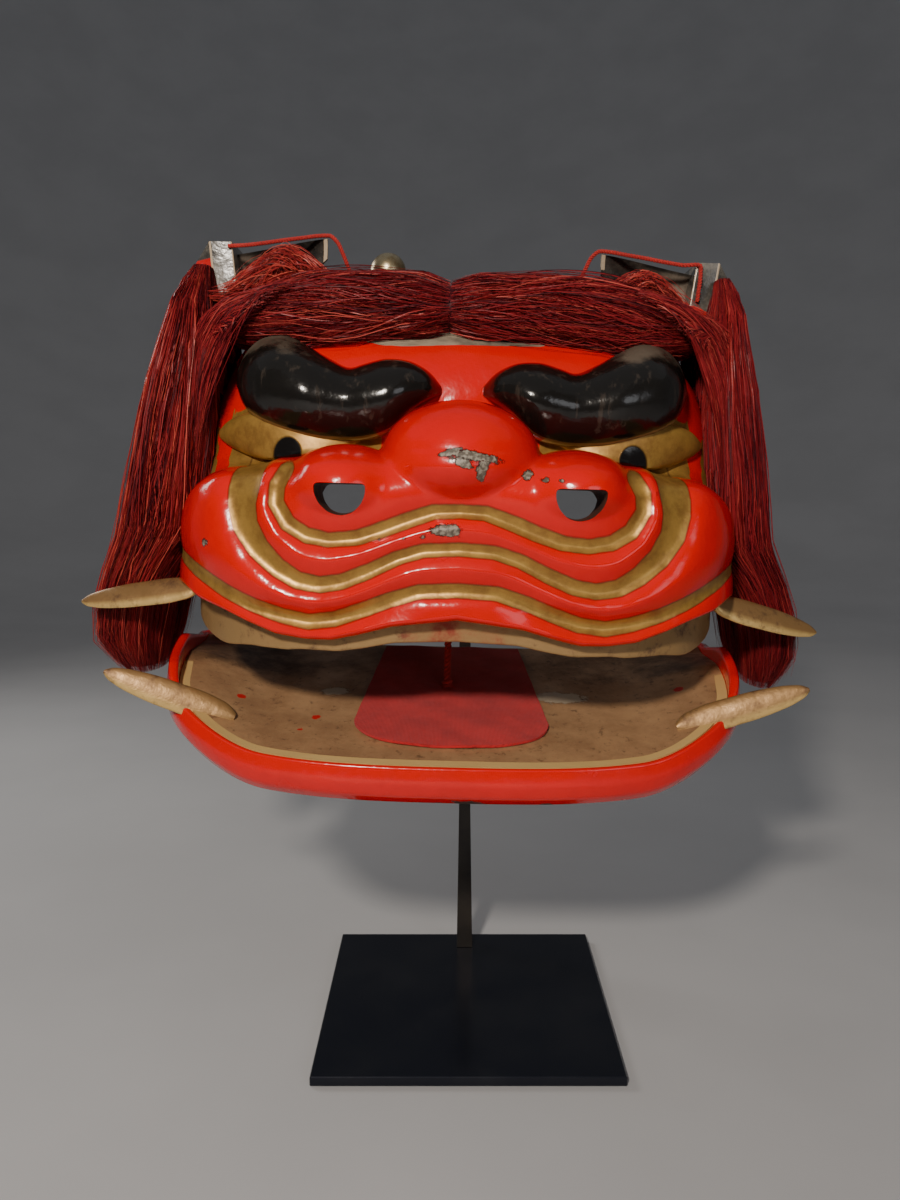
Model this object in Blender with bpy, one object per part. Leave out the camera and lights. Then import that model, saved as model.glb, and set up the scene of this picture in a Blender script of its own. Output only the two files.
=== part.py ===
import math

import bmesh
import bpy
import numpy as np
from mathutils import Matrix, Vector

# Lion dance head of lacquered carved wood, on its plain display stand.
# Metres, +Z up. The head looks along -Y, and the plate of the stand lies on Z = 0.

# Stand
plateSide = 0.200
plateThick = 0.0065
plateEdge = 0.0006
saddleAngle = 73.0
postBack = 0.082
postFootWidth = 0.0122
postNeckWidth = 0.0088
postNeckHeight = 0.120
postTopWidth = 0.0080
saddleWidth = 0.060
saddleDepth = 0.036
saddleThick = 0.010

# How the head sits on its post: a little to the left and turned a little clockwise
headShift = -0.006
headTurn = math.radians(1.5)
turnHeight = 0.383

# Head: a carved wooden shell, drawn round a line across the bottom of its open back
backLine = 0.130
footLine = 0.270
muzzleReach = 0.308
crownRise = 0.233
halfWidth = 0.176
crownHalfWidth = halfWidth * 0.8523
shoulderHeight = 0.380
crownHeight = 0.500
wall = 0.009
frontSquare = 4.6
crownSquare = 6.0
frontBow = 0.045
profileSoftness = 0.7
ledgeAngle = 21.2
socketAngle = 26.6
backAngle = 90.0

# Lip, bands and folds of the muzzle
muzzleFoot = footLine + crownRise * 0.1116
muzzleHeight = crownRise * 0.3777
grooveDepth = 0.0045
grooveSoftness = 0.0035
foldHeight = 0.0035
foldWidth = 0.008
foldFade = 0.010
bandWidth = 0.010

# Nose
noseHeight = footLine + crownRise * 0.5193
noseReach = muzzleReach * 0.8766 - backLine
noseHalfWidth = halfWidth * 0.2443
noseTall = crownRise * 0.133
noseDeep = muzzleReach * 0.1558
noseBlend = 0.006
noseRootBlend = 0.005
wingAcross = halfWidth * 0.3466
wingHeight = footLine + crownRise * 0.4464
wingHalfWidth = halfWidth * 0.1932
wingTall = crownRise * 0.0987
wingDeep = muzzleReach * 0.1396
nostrilAcross = wingAcross
nostrilHeight = wingHeight + 0.0015
nostrilWidth = 0.023
nostrilTall = 0.015
nostrilFront = muzzleReach * 1.120 - backLine
nostrilBack = muzzleReach * 0.7792 - backLine

# Brows and eyes
browInner = halfWidth * 0.0682
browSpan = halfWidth * 0.6818
browFoot = footLine + crownRise * 0.5536
browTall = crownRise * 0.2704
browBulge = 0.030
eyeInner = halfWidth * 0.3182
eyeSpan = halfWidth * 0.5
eyeFoot = footLine + crownRise * 0.4979
eyeTall = crownRise * 0.133
eyeBulge = 0.013
seatDepth = 0.004

# Ears with their root blocks, on the corners of the crown
earBack = muzzleReach * 0.5714 - backLine
earRootAcross = crownHalfWidth * 0.96
earRootWidth = 0.014
earRootDepth = 0.038
earRise = 0.018
earRootTall = 0.061
earRootLean = 0.007
earTipAcross = crownHalfWidth * 0.5733
earTipRise = 0.005
earTipTall = 0.012
earShellTall = 0.025
earShellInset = 0.006
earShellThick = 0.004
earShellDeep = 0.020
earSlope = 0.012
rightEarDrop = 0.005
earRootTop = footLine + crownRise + earRise
earRootFoot = earRootTop - earRootTall
earTipHeight = earRootTop + earTipRise
earShellFoot = earRootTop - earShellTall

# Brass knob
knobAcross = crownHalfWidth * -0.3333
knobAngle = 60.5
knobRadius = 0.0117
knobNeckRadius = 0.0035
knobNeckLength = 0.0045

# Hair
rollHalfLength = crownHalfWidth * 0.9467
rollFront = muzzleReach * 0.6623 - backLine
rollHeight = footLine + crownRise * 0.8884
rollHalfDepth = 0.031
rollHalfTall = 0.0215
rollDroop = 0.012
rollParting = -0.008
rollPartingWidth = 0.010
curtainTop = footLine + crownRise + 0.002
curtainDrop = 0.255
curtainThick = 0.062
curtainDepth = 0.130
curtainAcross = crownHalfWidth
curtainFront = muzzleReach * 0.7403 - backLine
leftFullness = 1.0
rightFullness = 0.72
lockDepth = 0.0022

# Hinge of the jaw, modelled closed and then opened
hingeBack = backLine - 0.030
hingeHeight = footLine + 0.018
openAngle = math.radians(13.7)
pinRadius = 0.004
pinHeadRadius = 0.0065
pinHeadThick = 0.0025
pinInnerReach = 0.004

# Jaw
jawHalfWidth = halfWidth * 0.9943
jawReach = muzzleReach * 0.8766
jawFrontShare = 0.92
jawCornerStart = jawReach * 0.5556
jawSquare = 2.9
jawColumns = 29
jawTall = 0.024
jawBulge = 0.003
jawWall = 0.013
jawLip = 0.0025
jawSideLip = 0.006
jawRimRise = 0.011
jawPlateThick = 0.0045
jawPlateBack = jawReach * 0.3852
jawDish = 0.015
dishStart = jawHalfWidth * 0.6
dishFade = 0.060
dishLead = 0.010
armWidth = 0.011
armTall = 0.020
armDrop = 0.008
armEnd = 0.012
armClear = 0.0015

# Gum under the lip, and the plain bar that carries the mouth cord
gumThick = 0.008
gumRootShare = 0.45
gumDrop = 0.026
barRadius = 0.006
barBack = backLine - muzzleReach * 0.6169
barHeight = muzzleFoot + 0.002
barEndClear = 0.0060

# Tongue
tongueFront = jawReach * 0.9185
tongueBack = jawReach * 0.4074
tongueHalfWidth = 0.057
tongueRootHalfWidth = 0.045
tongueCorner = 0.030
tongueThick = 0.0016
tongueShift = -0.001
tongueRows = [0.0, 0.3, 0.6, 0.78, 0.86, 0.91, 0.95, 0.98, 0.994, 1.0]

# Tusks: flat blades with a rounded tip
tuskWidth = 0.0165
tuskThick = 0.0052
tuskTilt = math.radians(35.0)

# Cords
mouthCordRadius = 0.0024
earCordRadius = 0.0014
earCordSpan = 0.060
mouthCordAcross = -0.004
mouthCordBack = barBack - 0.0015
mouthCordFoot = jawReach * 0.637
mouthCordSteps = 6
earCordAngle = 52.7

gap = 0.0003
cutPast = 0.055

lipLine = [
    # across as a share of the half width, angle above the foot line in degrees
    (0.00, 7.3),
    (0.20, 6.5),
    (0.30, 5.6),
    (0.38, 5.0),
    (0.46, 5.0),
    (0.55, 5.4),
    (0.64, 6.5),
    (0.72, 7.7),
    (0.81, 8.9),
    (0.90, 11.0),
    (1.00, 12.5),
]

profile = [
    # forward as a share of muzzleReach, up as a share of crownRise
    (0.981, 0.163),
    (0.994, 0.197),
    (1.000, 0.322),
    (0.994, 0.442),
    (0.964, 0.506),
    (0.896, 0.524),
    (0.799, 0.524),
    (0.776, 0.571),
    (0.782, 0.665),
    (0.763, 0.751),
    (0.737, 0.803),
    (0.692, 0.854),
    (0.610, 0.918),
    (0.487, 0.970),
    (0.292, 1.000),
    (0.097, 0.987),
    (-0.032, 0.961),
]

bands = {
    # across as a share of halfWidth, rise as a share of muzzleHeight, half of the band's width as a share of bandWidth
    "upper": [
        (0.000, 0.773, 0.35),
        (0.075, 0.767, 0.37),
        (0.148, 0.716, 0.40),
        (0.227, 0.653, 0.40),
        (0.301, 0.602, 0.38),
        (0.381, 0.585, 0.37),
        (0.449, 0.608, 0.40),
        (0.506, 0.676, 0.42),
        (0.543, 0.795, 0.42),
        (0.543, 0.898, 0.42),
        (0.520, 0.990, 0.42),
    ],
    "middle": [
        (0.000, 0.551, 0.34),
        (0.105, 0.538, 0.35),
        (0.182, 0.489, 0.36),
        (0.261, 0.409, 0.38),
        (0.341, 0.341, 0.40),
        (0.409, 0.316, 0.42),
        (0.477, 0.339, 0.46),
        (0.537, 0.409, 0.52),
        (0.599, 0.523, 0.62),
        (0.642, 0.659, 0.72),
        (0.653, 0.784, 0.82),
        (0.651, 0.864, 0.88),
        (0.640, 1.020, 0.92),
    ],
    "lower": [
        (0.000, 0.306, 0.38),
        (0.114, 0.293, 0.38),
        (0.199, 0.239, 0.39),
        (0.284, 0.168, 0.40),
        (0.364, 0.108, 0.40),
        (0.443, 0.085, 0.40),
        (0.523, 0.111, 0.40),
        (0.614, 0.165, 0.40),
        (0.699, 0.233, 0.38),
        (0.784, 0.313, 0.36),
        (0.869, 0.386, 0.34),
        (0.940, 0.430, 0.30),
    ],
}

browSections = [
    # across as a share of browSpan, foot and top as shares of browTall, bulge as a share of browBulge
    (0.00, 0.44, 0.52, 0.10),
    (0.04, 0.39, 0.61, 0.45),
    (0.12, 0.29, 0.71, 0.74),
    (0.25, 0.07, 0.75, 0.92),
    (0.36, 0.01, 0.70, 0.88),
    (0.43, 0.00, 0.66, 0.84),
    (0.53, 0.00, 0.74, 0.90),
    (0.65, 0.03, 0.87, 1.00),
    (0.78, 0.10, 1.00, 1.00),
    (0.87, 0.18, 0.97, 0.90),
    (0.95, 0.31, 0.83, 0.62),
    (1.00, 0.50, 0.66, 0.12),
]

eyeSections = [
    (0.00, 0.44, 0.56, 0.10),
    (0.10, 0.30, 0.74, 0.50),
    (0.28, 0.12, 0.92, 0.86),
    (0.46, 0.04, 1.00, 1.00),
    (0.64, 0.06, 0.98, 0.92),
    (0.82, 0.18, 0.88, 0.62),
    (0.94, 0.34, 0.74, 0.32),
    (1.00, 0.46, 0.60, 0.08),
]

curtainSections = [
    # drop as a share of curtainDrop, near and far as shares of curtainThick past curtainAcross,
    # front as a share of curtainFront, depth as a share of curtainDepth
    (0.00, 0.08, 0.26, 0.60, 0.30),
    (0.06, 0.05, 0.36, 0.80, 0.60),
    (0.16, -0.06, 0.48, 0.94, 0.82),
    (0.31, -0.06, 0.68, 1.00, 0.94),
    (0.49, 0.00, 0.84, 1.00, 1.00),
    (0.65, 0.08, 1.00, 0.92, 0.94),
    (0.75, 0.45, 1.18, 0.78, 0.84),
    (0.85, 0.58, 1.28, 0.73, 0.80),
    (0.95, 0.65, 1.22, 0.65, 0.68),
    (1.00, 0.71, 1.03, 0.51, 0.48),
]

gumSections = [
    # across as a share of halfWidth, drop below the lip as a share of gumDrop
    (0.00, 0.56),
    (0.25, 0.43),
    (0.45, 0.35),
    (0.65, 0.66),
    (0.80, 1.00),
    (0.90, 0.96),
    (0.96, 0.60),
    (1.00, 0.12),
]

rimSections = [
    # share along the jaw's edge, rise of the rim over the plate as a share of jawRimRise
    (0.00, 0.00),
    (0.62, 0.00),
    (0.78, 0.90),
    (0.92, 1.00),
    (1.00, 0.20),
]

tuskSections = [
    # along as a share of the length, width and thickness as shares of the widest
    (0.00, 0.34, 0.90),
    (0.06, 0.70, 1.00),
    (0.18, 0.94, 1.00),
    (0.50, 1.00, 0.90),
    (0.72, 0.88, 0.78),
    (0.88, 0.64, 0.62),
    (0.97, 0.34, 0.46),
    (1.00, 0.12, 0.34),
]

# Where each tusk starts and ends. The upper ones belong to the head: across as a share of halfWidth,
# forward from backLine as a share of muzzleReach, height over footLine as a share of crownRise
upperTuskLeft = [(-0.8580, 0.7468, 0.1824), (-1.2841, 0.7013, 0.1288)]
upperTuskRight = [(0.8580, 0.7468, 0.1738), (1.2443, 0.7013, 0.0966)]
# The lower ones belong to the jaw: across as a share of jawHalfWidth, forward from the hinge as a share
# of jawReach, height over the jaw's top as a share of jawTall
lowerTuskLeft = [(-0.7257, 0.8315, 0.1573), (-1.1429, 0.8330, 1.3194)]
lowerTuskRight = [(0.7429, 0.8306, 0.1978), (1.1600, 0.8330, 1.3194)]

# Points of the cord that ties an ear, from the ear's tip: outward, back and up as shares of earCordSpan
earCordPoints = [
    (1.000, -0.032, -0.133),
    (0.808, -0.023, -0.117),
    (0.617, -0.008, -0.087),
    (0.433, 0.020, -0.050),
    (0.250, 0.067, -0.013),
    (0.100, 0.110, 0.020),
    (-0.017, 0.133, 0.032),
    (-0.100, 0.137, -0.025),
    (-0.158, 0.137, -0.133),
    (-0.208, 0.138, -0.250),
    (-0.250, 0.140, -0.367),
]
# The right ear's cord runs on down the front of its root block
rightCordPoints = [
    (0.980, -0.032, -0.483),
    (0.990, -0.032, -0.367),
    (1.000, -0.032, -0.250),
]


# Scene and materials

def clearScene():
    for thing in list(bpy.data.objects):
        bpy.data.objects.remove(thing, do_unlink=True)


def makeMaterial(name, colour, roughness, metallic=0.0):
    material = bpy.data.materials.new(name)
    material.use_nodes = True
    shader = material.node_tree.nodes["Principled BSDF"]
    shader.inputs["Base Color"].default_value = (*colour, 1.0)
    shader.inputs["Roughness"].default_value = roughness
    shader.inputs["Metallic"].default_value = metallic
    material.diffuse_color = (*colour, 1.0)
    return material


def makeObject(name, mesh, parent, material=None):
    thing = bpy.data.objects.new(name, mesh)
    bpy.context.scene.collection.objects.link(thing)
    thing.parent = parent
    if material is not None:
        mesh.materials.append(material)
    return thing


def makeEmpty(name, matrix, parent=None):
    empty = bpy.data.objects.new(name, None)
    bpy.context.scene.collection.objects.link(empty)
    empty.parent = parent
    empty.matrix_basis = matrix
    return empty


# A closed body through rings of points, each with a flat or fanned end
def loftMesh(name, rings):
    mesh = bpy.data.meshes.new(name)
    work = bmesh.new()
    count = len(rings[0])
    rows = [[work.verts.new(point) for point in ring] for ring in rings]
    for near, far in zip(rows, rows[1:]):
        for i in range(count):
            j = (i + 1) % count
            work.faces.new((near[i], near[j], far[j]))
            work.faces.new((near[i], far[j], far[i]))
    for row in (rows[0], rows[-1]):
        middle = Vector((0.0, 0.0, 0.0))
        for vert in row:
            middle += vert.co
        hub = work.verts.new(middle / count)
        for i in range(count):
            work.faces.new((row[i], row[(i + 1) % count], hub))
    bmesh.ops.remove_doubles(work, verts=work.verts[:], dist=0.00001)
    bmesh.ops.dissolve_degenerate(work, edges=work.edges[:], dist=0.00001)
    bmesh.ops.recalc_face_normals(work, faces=work.faces[:])
    work.to_mesh(mesh)
    work.free()
    return mesh


def shadeSmooth(thing, angle=40.0):
    for face in thing.data.polygons:
        face.use_smooth = True
    thing.data.set_sharp_from_angle(angle=math.radians(angle))


def makeGuide(name, mesh, parent):
    guide = makeObject(name, mesh, parent)
    guide.hide_render = True
    guide.display_type = "WIRE"
    return guide


def useBoolean(thing, guide, operation="DIFFERENCE"):
    step = thing.modifiers.new(guide.name, "BOOLEAN")
    step.operation = operation
    step.solver = "EXACT"
    step.object = guide


# Cut every guide of a list away in one step
def cutAll(thing, name, guides):
    group = bpy.data.collections.new(name)
    bpy.context.scene.collection.children.link(group)
    for guide in guides:
        group.objects.link(guide)
    step = thing.modifiers.new(name, "BOOLEAN")
    step.operation = "DIFFERENCE"
    step.solver = "EXACT"
    step.operand_type = "COLLECTION"
    step.collection = group


# Form of the head

def profileTable():
    forward = np.array([row[0] for row in profile]) * muzzleReach
    up = np.array([row[1] for row in profile]) * crownRise
    angles = np.degrees(np.arctan2(up, forward))
    reach = np.hypot(forward, up)
    fine = np.arange(-10.0, 120.0, 0.25)
    plain = np.interp(fine, angles, reach)
    spread = np.arange(-3.0, 3.01, 0.25)
    weights = np.exp(-0.5 * (spread / profileSoftness) ** 2)
    padded = np.pad(plain, len(spread) // 2, mode="edge")
    soft = np.convolve(padded, weights / weights.sum(), mode="valid")
    return fine, soft


profileAngles, profileReach = profileTable()


def reachAt(angle):
    return np.interp(angle, profileAngles, profileReach)


# The least reach near an angle, less the wall: the inside of the shell
def innerReachAt(angle, spread=2.6):
    near = np.linspace(angle - spread, angle + spread, 9)
    return reachAt(near).min() - wall


def widthAt(height):
    share = min(max((height - shoulderHeight) / (crownHeight - shoulderHeight), 0.0), 1.0)
    return halfWidth + (crownHalfWidth - halfWidth) * share


def squareAt(angle):
    share = min(max((angle - 30.0) / 20.0, 0.0), 1.0)
    return frontSquare + (crownSquare - frontSquare) * share


def lipAngle(share):
    return np.interp(share, [row[0] for row in lipLine], [row[1] for row in lipLine])


# A column of the shell is set by its share across on the front, or by its share of depth at a side
def columnShares(kind, value, angle):
    square = squareAt(angle)
    other = (1.0 - min(abs(value), 1.0) ** square) ** (1.0 / square)
    if kind == "across":
        return value, other
    return math.copysign(other, value), abs(value)


def softMax(first, second, blend):
    near = max(blend - abs(first - second), 0.0) / blend
    return max(first, second) + near * near * blend * 0.25


# Reach of an egg-shaped lobe along a ray from the foot line, or none
def lobeReach(across, angle, centre, radii):
    side = (across - centre[0]) / radii[0]
    if abs(side) >= 1.0:
        return 0.0
    ray = (-math.cos(angle) / radii[1], math.sin(angle) / radii[2])
    start = ((backLine - centre[1]) / radii[1], (footLine - centre[2]) / radii[2])
    a = ray[0] ** 2 + ray[1] ** 2
    b = ray[0] * start[0] + ray[1] * start[1]
    c = start[0] ** 2 + start[1] ** 2 + side * side - 1.0
    inside = b * b - a * c
    if inside <= 0.0:
        return 0.0
    return (-b + math.sqrt(inside)) / a


def noseReachAt(across, angle):
    nose = lobeReach(across, angle, (0.0, -noseReach, noseHeight), (noseHalfWidth, noseDeep, noseTall))
    wing = lobeReach(
        abs(across), angle, (wingAcross, -noseReach, wingHeight), (wingHalfWidth, wingDeep, wingTall)
    )
    return softMax(nose, wing, noseBlend)


def bandPoints(name):
    rows = np.array(bands[name])
    return np.column_stack((rows[:, 0] * halfWidth, muzzleFoot + rows[:, 1] * muzzleHeight, rows[:, 2] * bandWidth))


bandLines = {name: bandPoints(name) for name in bands}


# Distance from a place on the front to the edge of the nearest band, below nought inside it
def bandEdge(across, height):
    best = 1.0
    for line in bandLines.values():
        starts = line[:-1]
        steps = line[1:] - starts
        place = np.array((abs(across), height))
        along = ((place - starts[:, :2]) * steps[:, :2]).sum(1) / (steps[:, :2] ** 2).sum(1)
        along = np.clip(along, 0.0, 1.0)
        nearest = starts[:, :2] + steps[:, :2] * along[:, None]
        away = np.hypot(*(place - nearest).T) - (starts[:, 2] + steps[:, 2] * along)
        best = min(best, away.min())
    return best


def foldAt(across, height):
    top = muzzleFoot + muzzleHeight * 1.12
    if height > top:
        return 0.0
    edge = bandEdge(across, height)
    groove = 1.0 / (1.0 + math.exp(edge / (grooveSoftness * 0.35)))
    fold = 1.0 - math.exp(-((max(edge, 0.0) / foldWidth) ** 2))
    fade = min(1.0, (top - height) / foldFade)
    return fade * (foldHeight * fold - grooveDepth * groove)


# A point of the shell's outside, grown by a small even amount
def shellPoint(kind, value, row, grow=0.0, inner=False):
    share = abs(columnShares(kind, value, row)[0])
    lift = lipAngle(share) - lipLine[0][1]
    fade = min(max((ledgeAngle - row) / (ledgeAngle - lipLine[0][1]), 0.0), 1.6)
    angle = row + lift * fade
    across, depth = columnShares(kind, value, angle)
    base = innerReachAt(angle) if inner else reachAt(angle)
    reach = base * depth * (1.0 - frontBow * across * across)
    turn = math.radians(angle)
    margin = -wall if inner else grow
    height = footLine + reach * math.sin(turn)
    x = across * (widthAt(height) + margin)
    if not inner:
        nose = noseReachAt(x, turn)
        reach = softMax(reach, nose, noseRootBlend)
        height = footLine + reach * math.sin(turn)
        if abs(across) < 0.97 and angle < 30.0:
            reach += foldAt(x, height) * min(1.0, depth * 1.6)
    reach += grow * (1.0 if depth > 0.2 else depth * 5.0)
    return (x, backLine - reach * math.cos(turn), footLine + reach * math.sin(turn))


shellRows = [
    *np.linspace(7.3, 21.2, 11),
    *np.linspace(22.4, 31.0, 6),
    *np.linspace(34.0, 50.5, 5),
    *np.linspace(57.0, backAngle, 5),
]
frontShares = np.linspace(0.0, 0.86, 13)
sideDepths = [0.78, 0.64, 0.46, 0.26, 0.07]


# A point on top of the crown, at a place across and an angle
def crownPoint(across, angle):
    return shellPoint("across", across / widthAt(crownHeight), angle)


def columnList(front, side):
    half = [("across", value) for value in front[1:]] + [("depth", value) for value in side]
    left = [(kind, -value) for kind, value in reversed(half)]
    return left + [("across", 0.0)] + half


def outerRings(grow=0.0):
    rings = []
    for kind, value in columnList(frontShares, sideDepths):
        ring = [shellPoint(kind, value, row, grow) for row in shellRows]
        x = ring[0][0]
        if grow:
            ring[0] = tuple(Vector(ring[0]) + Vector((0.0, 0.0, -grow)))
            ring[-1] = tuple(Vector(ring[-1]) + Vector((0.0, grow, 0.0)))
            ring.append((x, backLine + grow * 1.5, footLine - grow * 1.5))
        else:
            ring.append((x, backLine, footLine))
        rings.append(ring)
    return rings


hollowRows = [*np.linspace(7.3, 21.2, 5), 23.5, 26.0, 29.0, 33.0, 37.0, 41.0, 46.0, 52.0, 60.0, 69.0, 78.0, backAngle - 3.0]
hollowFront = [0.0, 0.16, 0.32, 0.48, 0.62, 0.74, 0.85]
hollowSide = [0.78, 0.64, 0.46, 0.28, 0.12]


def hollowRings(shrink=0.0):
    rings = []
    for kind, value in columnList(hollowFront, hollowSide):
        ring = [shellPoint(kind, value, row, -shrink, inner=True) for row in hollowRows]
        x = ring[0][0] - math.copysign(shrink, ring[0][0]) * min(1.0, abs(value) * 4.0)
        ring = [(x if kind == "depth" else point[0], point[1], point[2]) for point in ring]
        first, last = Vector(ring[0]), Vector(ring[-1])
        below = first + Vector((0.0, 0.0, -cutPast))
        behind = last + Vector((0.0, cutPast, 0.0))
        ring = [tuple(below)] + ring + [tuple(behind)]
        ring.append((ring[1][0], backLine + cutPast, footLine - cutPast))
        rings.append(ring)
    return rings


# Where the plain front of the shell lies at a place across and a height
def frontOf(across, height):
    angles = np.linspace(socketAngle, 60.0, 70)
    square = np.array([squareAt(angle) for angle in angles])
    share = min(abs(across) / widthAt(height), 0.995)
    depth = (1.0 - share ** square) ** (1.0 / square)
    reach = reachAt(angles) * depth * (1.0 - frontBow * share * share)
    heights = footLine + reach * np.sin(np.radians(angles))
    angle = float(np.interp(height, heights, angles))
    reach = float(np.interp(height, heights, reach))
    return backLine - reach * math.cos(math.radians(angle))


# Pieces that bulge from the front of the shell and are let into it

def bulgeRings(sections, inner, span, foot, tall, bulge, side, sides=16, grow=0.0):
    rings = []
    for share, low, high, swell in sections:
        x = side * (inner + span * share + grow * (2.0 * share - 1.0))
        middle = foot + tall * (low + high) / 2.0
        half = tall * (high - low) / 2.0 + grow
        ring = []
        for step in range(sides):
            turn = 2.0 * math.pi * step / sides
            height = middle + half * math.cos(turn)
            surface = frontOf(x, height)
            out = math.sin(turn)
            if out > 0.0:
                y = surface - (bulge * swell + grow) * out ** 0.8
            else:
                y = surface + (seatDepth + grow) * (-out) ** 0.5
            ring.append((x, y, height))
        rings.append(ring)
    return rings


def nostrilRings(side):
    outline = [(-0.5, 0.0), (0.5, 0.0), (0.5, -0.30), (0.42, -0.62), (0.24, -0.90), (0.0, -1.0)]
    outline += [(-0.24, -0.90), (-0.42, -0.62), (-0.5, -0.30)]
    rings = []
    for y, flare in ((-nostrilFront, 1.25), (-nostrilBack, 0.85)):
        ring = []
        for across, down in outline:
            x = side * (nostrilAcross + across * nostrilWidth * flare)
            ring.append((x, y, nostrilHeight + (down + 0.5) * nostrilTall * flare - 0.5 * nostrilTall))
        rings.append(ring)
    return rings


def cylinderMesh(name, start, end, radius, sides=16):
    axis = Vector(end) - Vector(start)
    turn = axis.to_track_quat("Z", "Y").to_matrix()
    rings = []
    for centre in (Vector(start), Vector(end)):
        ring = []
        for step in range(sides):
            angle = 2.0 * math.pi * (step + 0.5) / sides
            ring.append(centre + turn @ Vector((radius * math.cos(angle), radius * math.sin(angle), 0.0)))
        rings.append(ring)
    return loftMesh(name, rings)


def boxRings(low, high):
    rings = []
    for x in (low[0], high[0]):
        rings.append([(x, low[1], low[2]), (x, high[1], low[2]), (x, high[1], high[2]), (x, low[1], high[2])])
    return rings


# Head shell with its hollow, nostrils, seats and pin holes

def makeShell(parent, material):
    shell = makeObject("head_shell", loftMesh("head_shell", outerRings()), parent, material)
    guides = [makeGuide("hollow_guide", loftMesh("hollow_guide", hollowRings()), parent)]
    for side, word in ((-1, "left"), (1, "right")):
        nostril = loftMesh("nostril", nostrilRings(side))
        guides.append(makeGuide(f"nostril_guide_{word}", nostril, parent))
        brow = bulgeRings(browSections, browInner, browSpan, browFoot, browTall, browBulge, side, 16, gap)
        guides.append(makeGuide(f"brow_seat_{word}", loftMesh("brow_seat", brow), parent))
        eye = bulgeRings(eyeSections, eyeInner, eyeSpan, eyeFoot, eyeTall, eyeBulge, side, 12, gap)
        guides.append(makeGuide(f"eye_seat_{word}", loftMesh("eye_seat", eye), parent))
        start = (side * (halfWidth - wall * 2.0), hingeBack, hingeHeight)
        end = (side * (halfWidth + wall), hingeBack, hingeHeight)
        hole = cylinderMesh("pin_hole", start, end, pinRadius + gap)
        guides.append(makeGuide(f"pin_hole_{word}", hole, parent))
    cutAll(shell, "shell_cuts", guides)
    shadeSmooth(shell)


def makeBrowsAndEyes(parent, black, gold):
    for side, word in ((-1, "left"), (1, "right")):
        eye = bulgeRings(eyeSections, eyeInner, eyeSpan, eyeFoot, eyeTall, eyeBulge, side, 12)
        eyeThing = makeObject(f"eye_{word}", loftMesh(f"eye_{word}", eye), parent, gold)
        shadeSmooth(eyeThing)
        brow = bulgeRings(browSections, browInner, browSpan, browFoot, browTall, browBulge, side)
        browThing = makeObject(f"brow_{word}", loftMesh(f"brow_{word}", brow), parent, black)
        shadeSmooth(browThing)
        seat = bulgeRings(browSections, browInner, browSpan, browFoot, browTall, browBulge, side, 16, 2.0 * gap)
        useBoolean(eyeThing, makeGuide(f"brow_over_eye_{word}", loftMesh("brow_over_eye", seat), parent))


# Ears

def earDrop(side):
    return rightEarDrop if side > 0 else 0.0


def earRootRings(side, grow=0.0):
    rings = []
    high = earRootTop + grow - earDrop(side)
    front = -earBack - grow
    back = -earBack + earRootDepth + grow
    for height, lean, drop in ((earRootFoot - grow, 0.0, 0.0), (high, earRootLean, earSlope)):
        near = earRootAcross - earRootWidth / 2.0 + lean - grow
        far = earRootAcross + earRootWidth / 2.0 + lean + grow
        ring = [
            (side * near, front, height),
            (side * far, front, height),
            (side * (far + earSlope), front + earRootDepth * 0.35, height - drop),
            (side * (far + earSlope * 0.6), back, height - drop),
            (side * near, back, height),
        ]
        rings.append(ring)
    return rings


def earShellRings(side):
    rings = []
    start = earRootAcross + earRootWidth / 4.0
    for share in np.linspace(0.0, 1.0, 9):
        x = start + (earTipAcross - start) * share
        low = earRootTop - earShellInset
        top = low + (earTipHeight - low) * math.sin(share * math.pi * 0.5)
        foot = earShellFoot + (earTipHeight - earTipTall - earShellFoot) * share ** 3
        bend = earShellDeep * math.sin(math.pi * (0.15 + 0.8 * share))
        ring = []
        for step in range(6):
            up = step / 5.0
            back = -earBack + earShellInset + bend * (0.35 + 0.65 * math.sin(math.pi * (0.15 + 0.7 * up)))
            ring.append((side * x, back, foot + (top - foot) * up - earDrop(side)))
        outer = [(point[0], point[1] + earShellThick, point[2]) for point in reversed(ring)]
        rings.append(ring + outer)
    return rings


def makeEars(parent, material, headGrown):
    for side, word in ((-1, "left"), (1, "right")):
        ear = makeObject(f"ear_{word}", loftMesh(f"ear_{word}", earRootRings(side)), parent, material)
        scoop = makeGuide(f"ear_scoop_{word}", loftMesh("ear_scoop", earShellRings(side)), parent)
        useBoolean(ear, scoop, "UNION")
        useBoolean(ear, headGrown)
        shadeSmooth(ear, 30.0)


# Hair

def rollRings():
    rings = []
    for share in np.linspace(-1.0, 1.0, 23):
        x = share * rollHalfLength
        parting = math.exp(-(((x - rollParting) / rollPartingWidth) ** 2))
        end = math.sqrt(max(1.0 - abs(share) ** 6, 0.02))
        sink = rollDroop * abs(share) ** 3
        ring = []
        for step in range(16):
            turn = 2.0 * math.pi * step / 16
            lock = lockDepth * math.sin(5.0 * turn + 2.2 * x / rollHalfLength)
            deep = (rollHalfDepth + lock) * end * (1.0 - 0.10 * parting)
            tall = (rollHalfTall + lock) * end * (1.0 - 0.16 * parting)
            y = -rollFront + deep * math.cos(turn)
            ring.append((x, y, rollHeight - sink + tall * math.sin(turn)))
        rings.append(ring)
    return rings


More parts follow.
